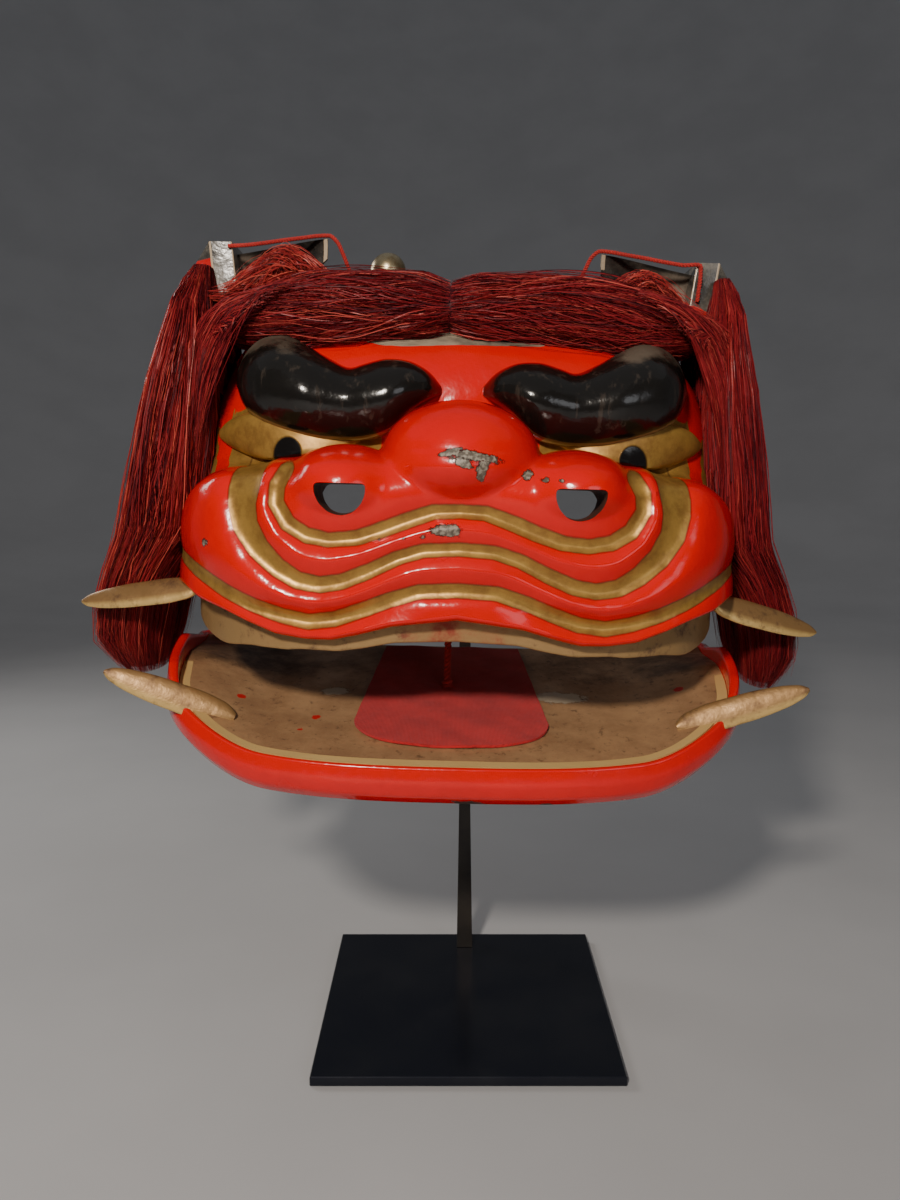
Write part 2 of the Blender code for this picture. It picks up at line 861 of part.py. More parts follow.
def curtainRings(side, fullness):
    rings = []
    for drop, near, far, front, depth in curtainSections:
        height = curtainTop - drop * curtainDrop
        inner = curtainAcross + near * curtainThick
        outer = inner + (far - near) * curtainThick * fullness
        y0 = -front * curtainFront
        y1 = y0 + depth * curtainDepth
        ring = []
        for step in range(18):
            turn = 2.0 * math.pi * step / 18
            lock = 1.0 + 0.10 * math.sin(5.0 * turn + 3.0 * drop)
            across = math.copysign(abs(math.cos(turn)) ** 0.7, math.cos(turn)) * lock
            along = math.copysign(abs(math.sin(turn)) ** 0.7, math.sin(turn))
            x = (inner + outer) / 2.0 + (outer - inner) / 2.0 * across
            ring.append((side * x, (y0 + y1) / 2.0 + (y1 - y0) / 2.0 * along, height))
        rings.append(ring)
    return rings


def makeHair(parent, material, headGrown):
    roll = makeObject("hair_crown", loftMesh("hair_crown", rollRings()), parent, material)
    useBoolean(roll, headGrown)
    shadeSmooth(roll, 60.0)
    for side, word, fullness in ((-1, "left", leftFullness), (1, "right", rightFullness)):
        useBoolean(roll, bpy.data.objects[f"brow_over_eye_{word}"])
        rings = curtainRings(side, fullness)
        curtain = makeObject(f"hair_{word}", loftMesh(f"hair_{word}", rings), parent, material)
        useBoolean(curtain, headGrown)
        clear = loftMesh("ear_clear", earRootRings(side, 3.0 * gap))
        useBoolean(curtain, makeGuide(f"ear_clear_{word}", clear, parent))
        shadeSmooth(curtain, 60.0)


def makeKnob(parent, material):
    start = math.asin(knobNeckRadius / knobRadius)
    middle = knobNeckLength + knobRadius * math.cos(start)
    flare = [(1.7, 0.0), (1.5, 0.27), (1.0, 0.40)]
    outline = [(knobNeckRadius * wide, knobNeckLength * up) for wide, up in flare]
    for step in range(7):
        turn = start + (math.pi - start) * step / 7.0
        outline.append((knobRadius * math.sin(turn), middle - knobRadius * math.cos(turn)))
    sides = 16
    rings = []
    for radius, up in outline:
        turns = [2.0 * math.pi * step / sides for step in range(sides)]
        rings.append([(radius * math.cos(turn), radius * math.sin(turn), up) for turn in turns])
    knob = makeObject("crown_knob", loftMesh("crown_knob", rings), parent, material)
    knob.location = Vector(crownPoint(knobAcross, knobAngle)) + Vector((0.0, 0.0, gap))
    shadeSmooth(knob)


# Gum under the lip: a band inside the shell, hanging past the lip's edge

def gumRings():
    rings = []
    for kind, value in columnList(hollowFront, hollowSide[:3]):
        start = Vector(shellPoint(kind, value, hollowRows[0], 0.0, inner=True))
        above = Vector(shellPoint(kind, value, hollowRows[1], 0.0, inner=True))
        across = columnShares(kind, value, hollowRows[0])[0]
        drop = np.interp(abs(across), [row[0] for row in gumSections], [row[1] for row in gumSections])
        foot = start.z - gumDrop * drop
        inward = Vector((-start.x * 0.55, hingeBack - start.y, 0.0))
        if kind == "depth":
            inward = Vector((-start.x, (hingeBack - start.y) * 0.2, 0.0))
        inward.normalize()
        root = start + inward * gap * 3.0
        top = start + (above - start) * gumRootShare + inward * gap * 3.0
        low = Vector((root.x, root.y, foot))
        thick = inward * gumThick
        rings.append([top, root, low, low + thick, root + thick, top + thick])
    return rings


def makeGum(parent, gold, wood):
    gum = makeObject("upper_gum", loftMesh("upper_gum", gumRings()), parent, gold)
    shadeSmooth(gum, 35.0)
    depth = (backLine - barBack) / reachAt(lipLine[-1][1])
    across = columnShares("depth", depth, lipLine[-1][1])[0]
    half = (halfWidth - wall) * across - gumThick - barEndClear
    bar = cylinderMesh("grip_bar", (-half, barBack, barHeight), (half, barBack, barHeight), barRadius, 12)
    shadeSmooth(makeObject("grip_bar", bar, parent, wood))


# Tusks

def tuskRings(start, end):
    start, end = Vector(start), Vector(end)
    along = (end - start).normalized()
    flat = along.cross(Vector((0.0, -1.0, 0.0))).normalized()
    if flat.z < 0.0:
        flat.negate()
    tilt = Matrix.Rotation(tuskTilt * (1.0 if along.x < 0.0 else -1.0), 3, along)
    broad = tilt @ flat
    thin = along.cross(broad).normalized()
    rings = []
    for share, width, thick in tuskSections:
        centre = start + (end - start) * share
        ring = []
        for step in range(10):
            turn = 2.0 * math.pi * step / 10
            across = broad * (math.cos(turn) * tuskWidth * width / 2.0)
            ring.append(centre + across + thin * (math.sin(turn) * tuskThick * thick / 2.0))
        rings.append(ring)
    return rings


def makeUpperTusks(parent, material, headGrown):
    for word, ends in (("left", upperTuskLeft), ("right", upperTuskRight)):
        ends = [(x * halfWidth, backLine - y * muzzleReach, footLine + z * crownRise) for x, y, z in ends]
        tusk = makeObject(f"upper_tusk_{word}", loftMesh("upper_tusk", tuskRings(*ends)), parent, material)
        useBoolean(tusk, headGrown)
        shadeSmooth(tusk)


# Jaw, drawn in its own frame: the origin on the hinge's axis, the top level when closed

def jawEdge(share, inset=0.0):
    width = jawHalfWidth - inset
    past = max(0.0, (abs(share) - jawFrontShare) / (1.0 - jawFrontShare))
    turn = math.pi / 2.0 * min(1.0, abs(share) / jawFrontShare)
    x = width * math.sin(turn) ** (2.0 / jawSquare)
    y = -jawCornerStart - (jawReach - jawCornerStart - inset) * max(math.cos(turn), 0.0) ** (2.0 / jawSquare)
    return math.copysign(x, share), y + (jawCornerStart - jawPlateBack) * past


def jawInward(share):
    x, y = jawEdge(share)
    inX, inY = jawEdge(share, jawWall)
    inward = Vector((inX - x, inY - y, 0.0))
    return Vector((x, y, 0.0)), inward.normalized()


def jawTop(x, y):
    rise = min(max((abs(x) - dishStart) / (jawHalfWidth - dishStart), 0.0), 1.0)
    forward = min(max((-y - jawPlateBack + dishLead) / dishFade, 0.35), 1.0)
    return jawDish * rise * rise * (3.0 - 2.0 * rise) * forward


def rimWidth(share):
    return jawLip + (jawSideLip - jawLip) * min(1.0, abs(share) / 0.8) ** 3


def rimRise(share):
    return jawRimRise * np.interp(abs(share), [row[0] for row in rimSections], [row[1] for row in rimSections])


def edgeShares(count):
    return [math.copysign(abs(share) ** 0.8, share) for share in np.linspace(-1.0, 1.0, count)]


# Section of an arm of the jaw, which runs inside the head to the hinge
def armRing(side, y, swell):
    outer = halfWidth - wall - armClear
    inner = outer - armWidth
    forward = min(1.0, max(0.0, -y / jawPlateBack))
    high = armTall * 0.5 * swell * (1.0 - forward)
    low = -armTall * 0.5 * swell - armDrop * forward
    tall = high - low
    ring = [
        (outer, high),
        (outer, high - tall * 0.36),
        (outer, high - tall * 0.70),
        (outer, low),
        (inner, low),
        (inner, high - tall * 0.20),
        (inner + armWidth * 0.4, high - tall * 0.10),
        (inner + armWidth * 0.6, high),
    ]
    return [(side * x, y, z) for x, z in ring]


def jawWallRings():
    arms = [(armEnd, 0.55), (armEnd * 0.7, 0.85), (0.0, 1.0), (-jawPlateBack * 0.385, 1.0), (-jawPlateBack * 0.817, 1.0)]
    rings = [armRing(-1, y, swell) for y, swell in arms]
    under = -jawPlateThick - 2.0 * gap
    for share in edgeShares(jawColumns):
        base, inward = jawInward(share)
        rise = rimRise(share)
        section = [
            # inset from the edge, height over the jaw's top
            (0.0, rise),
            (-jawBulge, -jawTall * 0.36),
            (-jawBulge * 0.7, -jawTall * 0.70),
            (jawBulge, -jawTall),
            (jawWall, -jawTall),
            (jawWall, under),
            (rimWidth(share), under),
            (rimWidth(share), rise),
        ]
        ring = []
        for inset, height in section:
            point = base + inward * inset
            ring.append(point + Vector((0.0, 0.0, jawTop(point.x, point.y) + height)))
        rings.append(ring)
    rings += [armRing(1, y, swell) for y, swell in reversed(arms)]
    return rings


# Rings of a board that fills the jaw's outline, each from the front edge to the back one
def boardRings(insets, above, below):
    rings = []
    for share in edgeShares(jawColumns):
        base, inward = jawInward(share)
        edge = insets(share)
        points = [base + inward * inset for inset, rise in edge]
        rises = [rise for inset, rise in edge] + [0.0, 0.0, 0.0]
        far = Vector((base.x * 0.90, -jawPlateBack, 0.0))
        points += [points[-1] + (far - points[-1]) * part for part in (0.35, 0.7, 1.0)]
        low, high = [], []
        for point, rise in zip(points, rises):
            top = jawTop(point.x, point.y)
            high.append((point.x, point.y, top + rise + above))
            low.append((point.x, point.y, top - below))
        rings.append(high + low[::-1])
    return rings


# How far in from the jaw's edge a board's points lie, and how far each stands over the jaw's top
def plateInsets(share):
    return [(rimWidth(share) + gap, 0.0), (jawWall, 0.0)]


def bedInsets(share):
    rise = rimRise(share)
    return [(-jawBulge - gap, rise), (0.0, rise), (rimWidth(share) + gap, rise), (rimWidth(share) + 3.0 * gap, 0.0)]


def tongueRings():
    rings = []
    for row in tongueRows:
        y = -tongueBack + (tongueBack - tongueFront) * row
        half = tongueRootHalfWidth + (tongueHalfWidth - tongueRootHalfWidth) * min(1.0, row * 1.25)
        past = max(0.0, -y - (tongueFront - tongueCorner)) / tongueCorner
        half *= max(1.0 - past ** 2.2, 0.02) ** 0.40
        low, high = [], []
        for step in range(7):
            x = tongueShift + half * (step / 3.0 - 1.0)
            low.append((x, y, jawTop(x, y) + gap))
            high.append((x, y, jawTop(x, y) + gap + tongueThick))
        rings.append(low + high[::-1])
    return rings


def makeJaw(parent, red, gold, cloth):
    wallThing = makeObject("jaw_shell", loftMesh("jaw_shell", jawWallRings()), parent, red)
    outer = halfWidth - wall - armClear
    for side, word in ((-1, "left"), (1, "right")):
        start = (side * (outer - armWidth * 2.0), 0.0, 0.0)
        hole = cylinderMesh("arm_hole", start, (side * (outer + armWidth), 0.0, 0.0), pinRadius + gap)
        useBoolean(wallThing, makeGuide(f"arm_hole_{word}", hole, parent))
    shadeSmooth(wallThing, 50.0)
    board = loftMesh("jaw_plate", boardRings(plateInsets, 0.0, jawPlateThick))
    shadeSmooth(makeObject("jaw_plate", board, parent, gold), 50.0)
    shadeSmooth(makeObject("tongue", loftMesh("tongue", tongueRings()), parent, cloth))


def makeLowerTusks(jawFrame, material):
    bed = loftMesh("tusk_bed", boardRings(bedInsets, 2.0 * gap, jawTall))
    bedGuide = makeGuide("tusk_bed", bed, jawFrame)
    for word, ends in (("left", lowerTuskLeft), ("right", lowerTuskRight)):
        start, end = ((x * jawHalfWidth, -y * jawReach, z * jawTall) for x, y, z in ends)
        tusk = makeObject(f"lower_tusk_{word}", loftMesh("lower_tusk", tuskRings(start, end)), jawFrame, material)
        useBoolean(tusk, bedGuide)
        shadeSmooth(tusk)


# Hinge pins: a dowel with a flat head through each side of the head into an arm of the jaw

def makePins(parent, wood):
    for side, word in ((-1, "left"), (1, "right")):
        inner = side * (halfWidth - wall - armClear - armWidth - pinInnerReach)
        outer = side * (halfWidth + gap)
        steps = [
            (inner, pinRadius),
            (outer, pinRadius),
            (outer, pinHeadRadius),
            (outer + side * pinHeadThick, pinHeadRadius),
        ]
        rings = []
        for x, radius in steps:
            ring = []
            for step in range(16):
                turn = 2.0 * math.pi * (step + 0.5) / 16
                ring.append((x, hingeBack + radius * math.cos(turn), hingeHeight + radius * math.sin(turn)))
            rings.append(ring)
        pin = makeObject(f"hinge_pin_{word}", loftMesh("hinge_pin", rings), parent, wood)
        shadeSmooth(pin, 30.0)


# Stand

def makeStand(headFrame, steel):
    half = plateSide / 2.0
    mesh = loftMesh("stand_plate", boxRings((-half, -half, 0.0), (half, half, plateThick)))
    plate = makeObject("stand_plate", mesh, None, steel)
    bevel = plate.modifiers.new("edge", "BEVEL")
    bevel.width = plateEdge
    bevel.segments = 1
    angle = math.radians(saddleAngle)
    inside = footLine + (reachAt(saddleAngle) - wall) * math.sin(angle)
    ceiling = (headFrame.matrix_world @ Vector((0.0, postBack, inside))).z
    top = ceiling - saddleThick
    rings = []
    for height, width in ((plateThick + gap, postFootWidth), (postNeckHeight, postNeckWidth), (top, postTopWidth)):
        side = width / 2.0
        near, far = postBack - side, postBack + side
        rings.append([(-side, near, height), (side, near, height), (side, far, height), (-side, far, height)])
    post = makeObject("stand_post", loftMesh("stand_post", rings), None, steel)
    low = (-saddleWidth / 2.0, postBack - saddleDepth / 2.0, top - saddleThick * 0.2)
    high = (saddleWidth / 2.0, postBack + saddleDepth / 2.0, ceiling + saddleThick * 2.0)
    saddle = makeGuide("saddle_guide", loftMesh("saddle_guide", boxRings(low, high)), None)
    hollow = makeGuide("hollow_inner_guide", loftMesh("hollow_inner_guide", hollowRings(gap)), headFrame)
    useBoolean(saddle, hollow, "INTERSECT")
    useBoolean(post, saddle, "UNION")


# Cords, each one tube through points chosen along its route

def mouthCordRoute(jawFrame):
    top = Vector((mouthCordAcross, mouthCordBack, barHeight - barRadius - gap))
    over = jawTop(mouthCordAcross, -mouthCordFoot) + tongueThick + 3.0 * gap + mouthCordRadius * math.tan(openAngle)
    foot = jawFrame.matrix_basis @ Vector((mouthCordAcross, -mouthCordFoot, over))
    return [top.lerp(foot, step / (mouthCordSteps - 1)) for step in range(mouthCordSteps)]


def earCordRoute(side):
    tip = Vector((earTipAcross, -earBack, earTipHeight - earDrop(side)))
    offsets = earCordPoints if side < 0 else rightCordPoints + earCordPoints
    points = [tip + Vector(offset) * earCordSpan for offset in offsets]
    points = [Vector((side * point.x, point.y, point.z)) for point in points]
    foot = Vector(crownPoint(points[-1].x, earCordAngle)) + Vector((0.0, 0.0, 2.0 * gap))
    return points + [points[-1].lerp(foot, 0.5), foot]


def makeCord(name, points, radius, parent, material):
    curve = bpy.data.curves.new(name, "CURVE")
    curve.dimensions = "3D"
    curve.bevel_depth = radius
    curve.bevel_resolution = 2
    curve.use_fill_caps = True
    spline = curve.splines.new("POLY")
    spline.points.add(len(points) - 1)
    for place, point in zip(spline.points, points):
        place.co = (*point, 1.0)
    thing = bpy.data.objects.new(name, curve)
    bpy.context.scene.collection.objects.link(thing)
    thing.parent = parent
    curve.materials.append(material)
    return thing


def main():
    clearScene()
    red = makeMaterial("red_lacquer", (0.80, 0.008, 0.004), 0.22)
    gold = makeMaterial("matte_gold", (0.48, 0.28, 0.07), 0.42, 0.55)
    black = makeMaterial("black_lacquer", (0.008, 0.007, 0.006), 0.16)
    ear = makeMaterial("ear_lacquer", (0.05, 0.05, 0.05), 0.30)
    hair = makeMaterial("crimson_hair", (0.22, 0.018, 0.018), 0.45)
    brass = makeMaterial("worn_brass", (0.42, 0.33, 0.18), 0.30, 0.9)
    jawGold = makeMaterial("worn_gold", (0.30, 0.19, 0.09), 0.48, 0.30)
    cloth = makeMaterial("red_cloth", (0.62, 0.02, 0.03), 0.85)
    cord = makeMaterial("red_cord", (0.62, 0.03, 0.02), 0.75)
    wood = makeMaterial("bare_wood", (0.42, 0.30, 0.19), 0.60)
    steel = makeMaterial("black_steel", (0.012, 0.014, 0.022), 0.28, 0.6)
    turn = Matrix.Translation((headShift, 0.0, turnHeight)) @ Matrix.Rotation(headTurn, 4, "Y")
    headFrame = makeEmpty("head_frame", turn @ Matrix.Translation((0.0, 0.0, -turnHeight)))
    headGrown = makeGuide("head_grown", loftMesh("head_grown", outerRings(gap)), headFrame)
    opened = Matrix.Translation((0.0, hingeBack, hingeHeight)) @ Matrix.Rotation(openAngle, 4, "X")
    jawFrame = makeEmpty("jaw_frame", opened, headFrame)
    bpy.context.view_layer.update()
    makeShell(headFrame, red)
    makeBrowsAndEyes(headFrame, black, gold)
    makeEars(headFrame, ear, headGrown)
    makeKnob(headFrame, brass)
    makeHair(headFrame, hair, headGrown)
    makeGum(headFrame, gold, wood)
    makeUpperTusks(headFrame, gold, headGrown)
    makeJaw(jawFrame, red, jawGold, cloth)
    makeLowerTusks(jawFrame, gold)
    makePins(headFrame, wood)
    makeStand(headFrame, steel)
    makeCord("mouth_cord", mouthCordRoute(jawFrame), mouthCordRadius, headFrame, cord)
    makeCord("ear_cord_left", earCordRoute(-1), earCordRadius, headFrame, cord)
    makeCord("ear_cord_right", earCordRoute(1), earCordRadius, headFrame, cord)


main()
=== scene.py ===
import math

import bmesh
import bpy
import numpy as np
from mathutils import Matrix, Vector


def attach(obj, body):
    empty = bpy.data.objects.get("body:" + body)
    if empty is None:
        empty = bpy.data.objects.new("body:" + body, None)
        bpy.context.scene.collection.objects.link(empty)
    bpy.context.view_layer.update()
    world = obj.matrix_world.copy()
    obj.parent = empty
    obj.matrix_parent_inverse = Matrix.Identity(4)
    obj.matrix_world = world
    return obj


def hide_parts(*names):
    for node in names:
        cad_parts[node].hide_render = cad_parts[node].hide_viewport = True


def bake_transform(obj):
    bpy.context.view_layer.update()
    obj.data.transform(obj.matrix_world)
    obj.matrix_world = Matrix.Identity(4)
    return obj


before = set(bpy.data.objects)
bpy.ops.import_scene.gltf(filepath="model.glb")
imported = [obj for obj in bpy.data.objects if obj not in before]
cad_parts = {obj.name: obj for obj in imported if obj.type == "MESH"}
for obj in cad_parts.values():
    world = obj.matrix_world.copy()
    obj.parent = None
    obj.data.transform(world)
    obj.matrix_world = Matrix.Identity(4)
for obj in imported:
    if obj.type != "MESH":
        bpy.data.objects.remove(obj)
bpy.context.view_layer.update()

dice = np.random.default_rng(11)

# Camera as in the photograph
scene = bpy.context.scene
camera = bpy.data.objects.new("photo_camera", bpy.data.cameras.new("photo_camera"))
scene.collection.objects.link(camera)
camera.data.lens = 30.48
camera.data.sensor_width = 36.0
camera.location = (-0.0116, -0.696, 0.383)
camera.rotation_euler = (math.radians(90.0 - 7.125), 0.0, 0.0)
scene.camera = camera

# The head stands a little to the left and turned on its post; the jaw hangs open from its hinge
headPlace = (Matrix.Translation((-0.006, 0.0, 0.383)) @ Matrix.Rotation(math.radians(1.5), 4, "Y")
             @ Matrix.Translation((0.0, 0.0, -0.383)))
restAngle = 13.7
jawPlace = headPlace @ Matrix.Translation((0.0, 0.100, 0.288)) @ Matrix.Rotation(math.radians(restAngle), 4, "X")

headForm = {
    "backLine": 0.130, "footLine": 0.270, "muzzleReach": 0.308, "crownRise": 0.233, "halfWidth": 0.176,
    "crownHalfWidth": 0.150, "shoulderHeight": 0.380, "crownHeight": 0.500, "wall": 0.009,
    "frontSquare": 4.6, "crownSquare": 6.0, "frontBow": 0.045, "softness": 0.7, "ledgeAngle": 21.2,
    "groove": 0.0045, "grooveSoftness": 0.0016, "fold": 0.0036, "foldWidth": 0.008,
    "muzzleFoot": 0.296, "muzzleHeight": 0.088,
}
backLine, footLine = headForm["backLine"], headForm["footLine"]
halfWidth, wall = headForm["halfWidth"], headForm["wall"]

lipShares = [0.00, 0.20, 0.30, 0.38, 0.46, 0.55, 0.64, 0.72, 0.81, 0.90, 1.00]
lipAngles = [7.3, 6.5, 5.6, 5.0, 5.0, 5.4, 6.5, 7.7, 8.9, 11.0, 12.5]

# Profile down the middle: forward as a share of muzzleReach, up as a share of crownRise
profile = np.array([
    (0.981, 0.163), (0.994, 0.197), (1.000, 0.322), (0.994, 0.442), (0.964, 0.506), (0.896, 0.524),
    (0.799, 0.524), (0.776, 0.571), (0.782, 0.665), (0.763, 0.751), (0.737, 0.803), (0.692, 0.854),
    (0.610, 0.918), (0.487, 0.970), (0.292, 1.000), (0.097, 0.987), (-0.032, 0.961),
])

# Gold bands: across as a share of halfWidth, rise as a share of muzzleHeight, half width
bands = [
    [(0.000, 0.773, 0.0035), (0.075, 0.767, 0.0037), (0.148, 0.716, 0.0040), (0.227, 0.653, 0.0040),
     (0.301, 0.602, 0.0038), (0.381, 0.585, 0.0037), (0.449, 0.608, 0.0040), (0.506, 0.676, 0.0042),
     (0.543, 0.795, 0.0042), (0.543, 0.898, 0.0042), (0.520, 0.990, 0.0042)],
    [(0.000, 0.551, 0.0034), (0.105, 0.538, 0.0035), (0.182, 0.489, 0.0036), (0.261, 0.409, 0.0038),
     (0.341, 0.341, 0.0040), (0.409, 0.316, 0.0042), (0.477, 0.339, 0.0046), (0.537, 0.409, 0.0052),
     (0.599, 0.523, 0.0062), (0.642, 0.659, 0.0072), (0.653, 0.784, 0.0082), (0.651, 0.864, 0.0088),
     (0.640, 1.020, 0.0092)],
    [(0.000, 0.306, 0.0038), (0.114, 0.293, 0.0038), (0.199, 0.239, 0.0039), (0.284, 0.168, 0.0040),
     (0.364, 0.108, 0.0040), (0.443, 0.085, 0.0040), (0.523, 0.111, 0.0040), (0.614, 0.165, 0.0040),
     (0.699, 0.233, 0.0038), (0.784, 0.313, 0.0036), (0.869, 0.386, 0.0034), (0.940, 0.430, 0.0030)],
]


# Making meshes

def toWorld(points, place):
    flat = np.asarray(points, float).reshape(-1, 3)
    turn = np.array(place)
    return (flat @ turn[:3, :3].T + turn[:3, 3]).reshape(np.shape(points))


def newPiece(name, mesh, material=None):
    piece = bpy.data.objects.new(name, mesh)
    scene.collection.objects.link(piece)
    if material is not None:
        mesh.materials.append(material)
    return piece


# The mesh of finished work, smooth and with its faces outward
def smoothMesh(work, name):
    bmesh.ops.recalc_face_normals(work, faces=work.faces[:])
    for face in work.faces:
        face.smooth = True
    mesh = bpy.data.meshes.new(name)
    work.to_mesh(mesh)
    work.free()
    return mesh


# A closed skin through rows of points, with values painted on its points
def skin(name, points, place, material=None, tags=None, sharp=50.0):
    points = toWorld(points, place)
    points = np.concatenate((points, points[:, :1]), axis=1)
    tags = {key: np.concatenate((value, value[:, :1]), axis=1) for key, value in (tags or {}).items()}
    rows, columns = points.shape[:2]
    work = bmesh.new()
    for key in tags:
        work.verts.layers.float.new(key)
    layers = {key: work.verts.layers.float.get(key) for key in tags}
    bmesh.ops.create_grid(work, x_segments=columns - 1, y_segments=rows - 1, size=1.0)
    verts = sorted(work.verts, key=lambda vert: (round(vert.co.y, 5), round(vert.co.x, 5)))
    for vert, spot in zip(verts, points.reshape(-1, 3)):
        vert.co = spot
    for key, layer in layers.items():
        for vert, value in zip(verts, tags[key].reshape(-1)):
            vert[layer] = value
    bmesh.ops.remove_doubles(work, verts=work.verts[:], dist=0.000002)
    bmesh.ops.dissolve_degenerate(work, edges=work.edges[:], dist=0.000001)
    bmesh.ops.holes_fill(work, edges=[edge for edge in work.edges if edge.is_boundary], sides=0)
    mesh = smoothMesh(work, name)
    mesh.set_sharp_from_angle(angle=math.radians(sharp))
    return newPiece(name, mesh, material)


# Several pieces made one
def joinPieces(name, pieces, material):
    work = bmesh.new()
    for piece in pieces:
        work.from_mesh(piece.data)
        bpy.data.objects.remove(piece, do_unlink=True)
    mesh = bpy.data.meshes.new(name)
    work.to_mesh(mesh)
    work.free()
    return newPiece(name, mesh, material)


# Cut one solid away from another and keep the outcome
def carve(piece, tool):
    step = piece.modifiers.new("carve", "BOOLEAN")
    step.operation = "DIFFERENCE"
    step.solver = "EXACT"
    step.material_mode = "TRANSFER"
    step.object = tool
    bpy.context.view_layer.update()
    done = bpy.data.meshes.new_from_object(piece.evaluated_get(bpy.context.evaluated_depsgraph_get()))
    piece.modifiers.remove(step)
    piece.data = done


# A table whose first column runs from 0 to 1, read along a smooth line
def smoothTable(rows, shares):
    rows = np.array(rows, float)
    places, values = rows[:, 0], rows[:, 1:]
    slopes = np.gradient(values, places, axis=0)
    steps = np.diff(values, axis=0) / np.diff(places)[:, None]
    for i in range(1, len(rows) - 1):
        flat = steps[i - 1] * steps[i] <= 0.0
        slopes[i][flat] = 0.0
    shares = np.asarray(shares, float)
    index = np.clip(np.searchsorted(places, shares, side="right") - 1, 0, len(rows) - 2)
    gap = (places[index + 1] - places[index])[:, None]
    t = ((shares - places[index])[:, None]) / gap
    return ((2 * t ** 3 - 3 * t ** 2 + 1) * values[index] + (t ** 3 - 2 * t ** 2 + t) * gap * slopes[index]
            + (3 * t ** 2 - 2 * t ** 3) * values[index + 1] + (t ** 3 - t ** 2) * gap * slopes[index + 1])


# Corners of a closed outline cut into short arcs
def roundCorners(ring, radius, steps=4):
    ring = np.asarray(ring, float)
    out = []
    for i in range(len(ring)):
        corner, before, after = ring[i], ring[i - 1], ring[(i + 1) % len(ring)]
        toBefore, toAfter = before - corner, after - corner
        reach = min(radius, 0.45 * np.linalg.norm(toBefore), 0.45 * np.linalg.norm(toAfter))
        first = corner + toBefore / max(np.linalg.norm(toBefore), 1e-9) * reach
        last = corner + toAfter / max(np.linalg.norm(toAfter), 1e-9) * reach
        for step in range(steps + 1):
            t = step / steps
            out.append((1 - t) ** 2 * first + 2 * t * (1 - t) * corner + t * t * last)
    return out


def fadeIn(value, low, high):
    share = np.clip((value - low) / (high - low), 0.0, 1.0)
    return share * share * (3.0 - 2.0 * share)


# Form of the head

def profileTable():
    forward, up = profile[:, 0] * headForm["muzzleReach"], profile[:, 1] * headForm["crownRise"]
    fine = np.arange(-10.0, 120.0, 0.25)
    plain = np.interp(fine, np.degrees(np.arctan2(up, forward)), np.hypot(forward, up))
    spread = np.arange(-3.0, 3.01, 0.25)
    weights = np.exp(-0.5 * (spread / headForm["softness"]) ** 2)
    soft = np.convolve(np.pad(plain, len(spread) // 2, mode="edge"), weights / weights.sum(), mode="valid")
    near = [np.roll(soft, shift) for shift in range(-10, 11)]
    return fine, soft, np.min(near, axis=0) - wall


fineAngles, outerReach, innerReach = profileTable()


# How square the shell's outline is at an angle over the foot line
def squareAt(angle):
    return headForm["frontSquare"] + (headForm["crownSquare"] - headForm["frontSquare"]) * np.clip(
        (angle - 30.0) / 20.0, 0.0, 1.0)


def widthAt(height):
    share = (height - headForm["shoulderHeight"]) / (headForm["crownHeight"] - headForm["shoulderHeight"])
    return halfWidth + (headForm["crownHalfWidth"] - halfWidth) * np.clip(share, 0.0, 1.0)


def softMax(first, second, blend):
    near = np.maximum(blend - np.abs(first - second), 0.0) / blend
    return np.maximum(first, second) + near * near * blend * 0.25


def lobeReach(across, angle, centre, radii):
    side = (across - centre[0]) / radii[0]
    rayY, rayZ = -np.cos(angle) / radii[1], np.sin(angle) / radii[2]
    startY, startZ = (backLine - centre[1]) / radii[1], (footLine - centre[2]) / radii[2]
    a = rayY ** 2 + rayZ ** 2
    b = rayY * startY + rayZ * startZ
    c = startY ** 2 + startZ ** 2 + side ** 2 - 1.0
    inside = b * b - a * c
    return np.where((inside > 0.0) & (np.abs(side) < 1.0), (-b + np.sqrt(np.maximum(inside, 0.0))) / a, 0.0)


def noseReachAt(across, angle):
    nose = lobeReach(across, angle, (0.0, -0.140, 0.391), (0.043, 0.048, 0.031))
    wing = lobeReach(np.abs(across), angle, (0.061, -0.140, 0.374), (0.034, 0.043, 0.023))
    return softMax(nose, wing, 0.006)


# Distance from a place on the front to the edge of the nearest gold band, below nought inside it
def bandEdge(across, height):
    best = np.full(np.shape(across), 1.0)
    for band in bands:
        line = np.array([(x * halfWidth, headForm["muzzleFoot"] + z * headForm["muzzleHeight"], wide)
                         for x, z, wide in band])
        for start, end in zip(line, line[1:]):
            stepX, stepZ = end[0] - start[0], end[1] - start[1]
            along = ((np.abs(across) - start[0]) * stepX + (height - start[1]) * stepZ) / (stepX ** 2 + stepZ ** 2)
            along = np.clip(along, 0.0, 1.0)
            away = np.hypot(np.abs(across) - start[0] - stepX * along, height - start[1] - stepZ * along)
            best = np.minimum(best, away - (start[2] + (end[2] - start[2]) * along))
    return best


def foldAt(across, height, edge):
    top = headForm["muzzleFoot"] + headForm["muzzleHeight"] * 1.12
    groove = 1.0 / (1.0 + np.exp(np.clip(edge / headForm["grooveSoftness"], -40.0, 40.0)))
    fold = 1.0 - np.exp(-((np.maximum(edge, 0.0) / headForm["foldWidth"]) ** 2))
    fade = np.clip((top - height) / 0.010, 0.0, 1.0)
    return fade * (headForm["fold"] * fold - headForm["groove"] * groove)


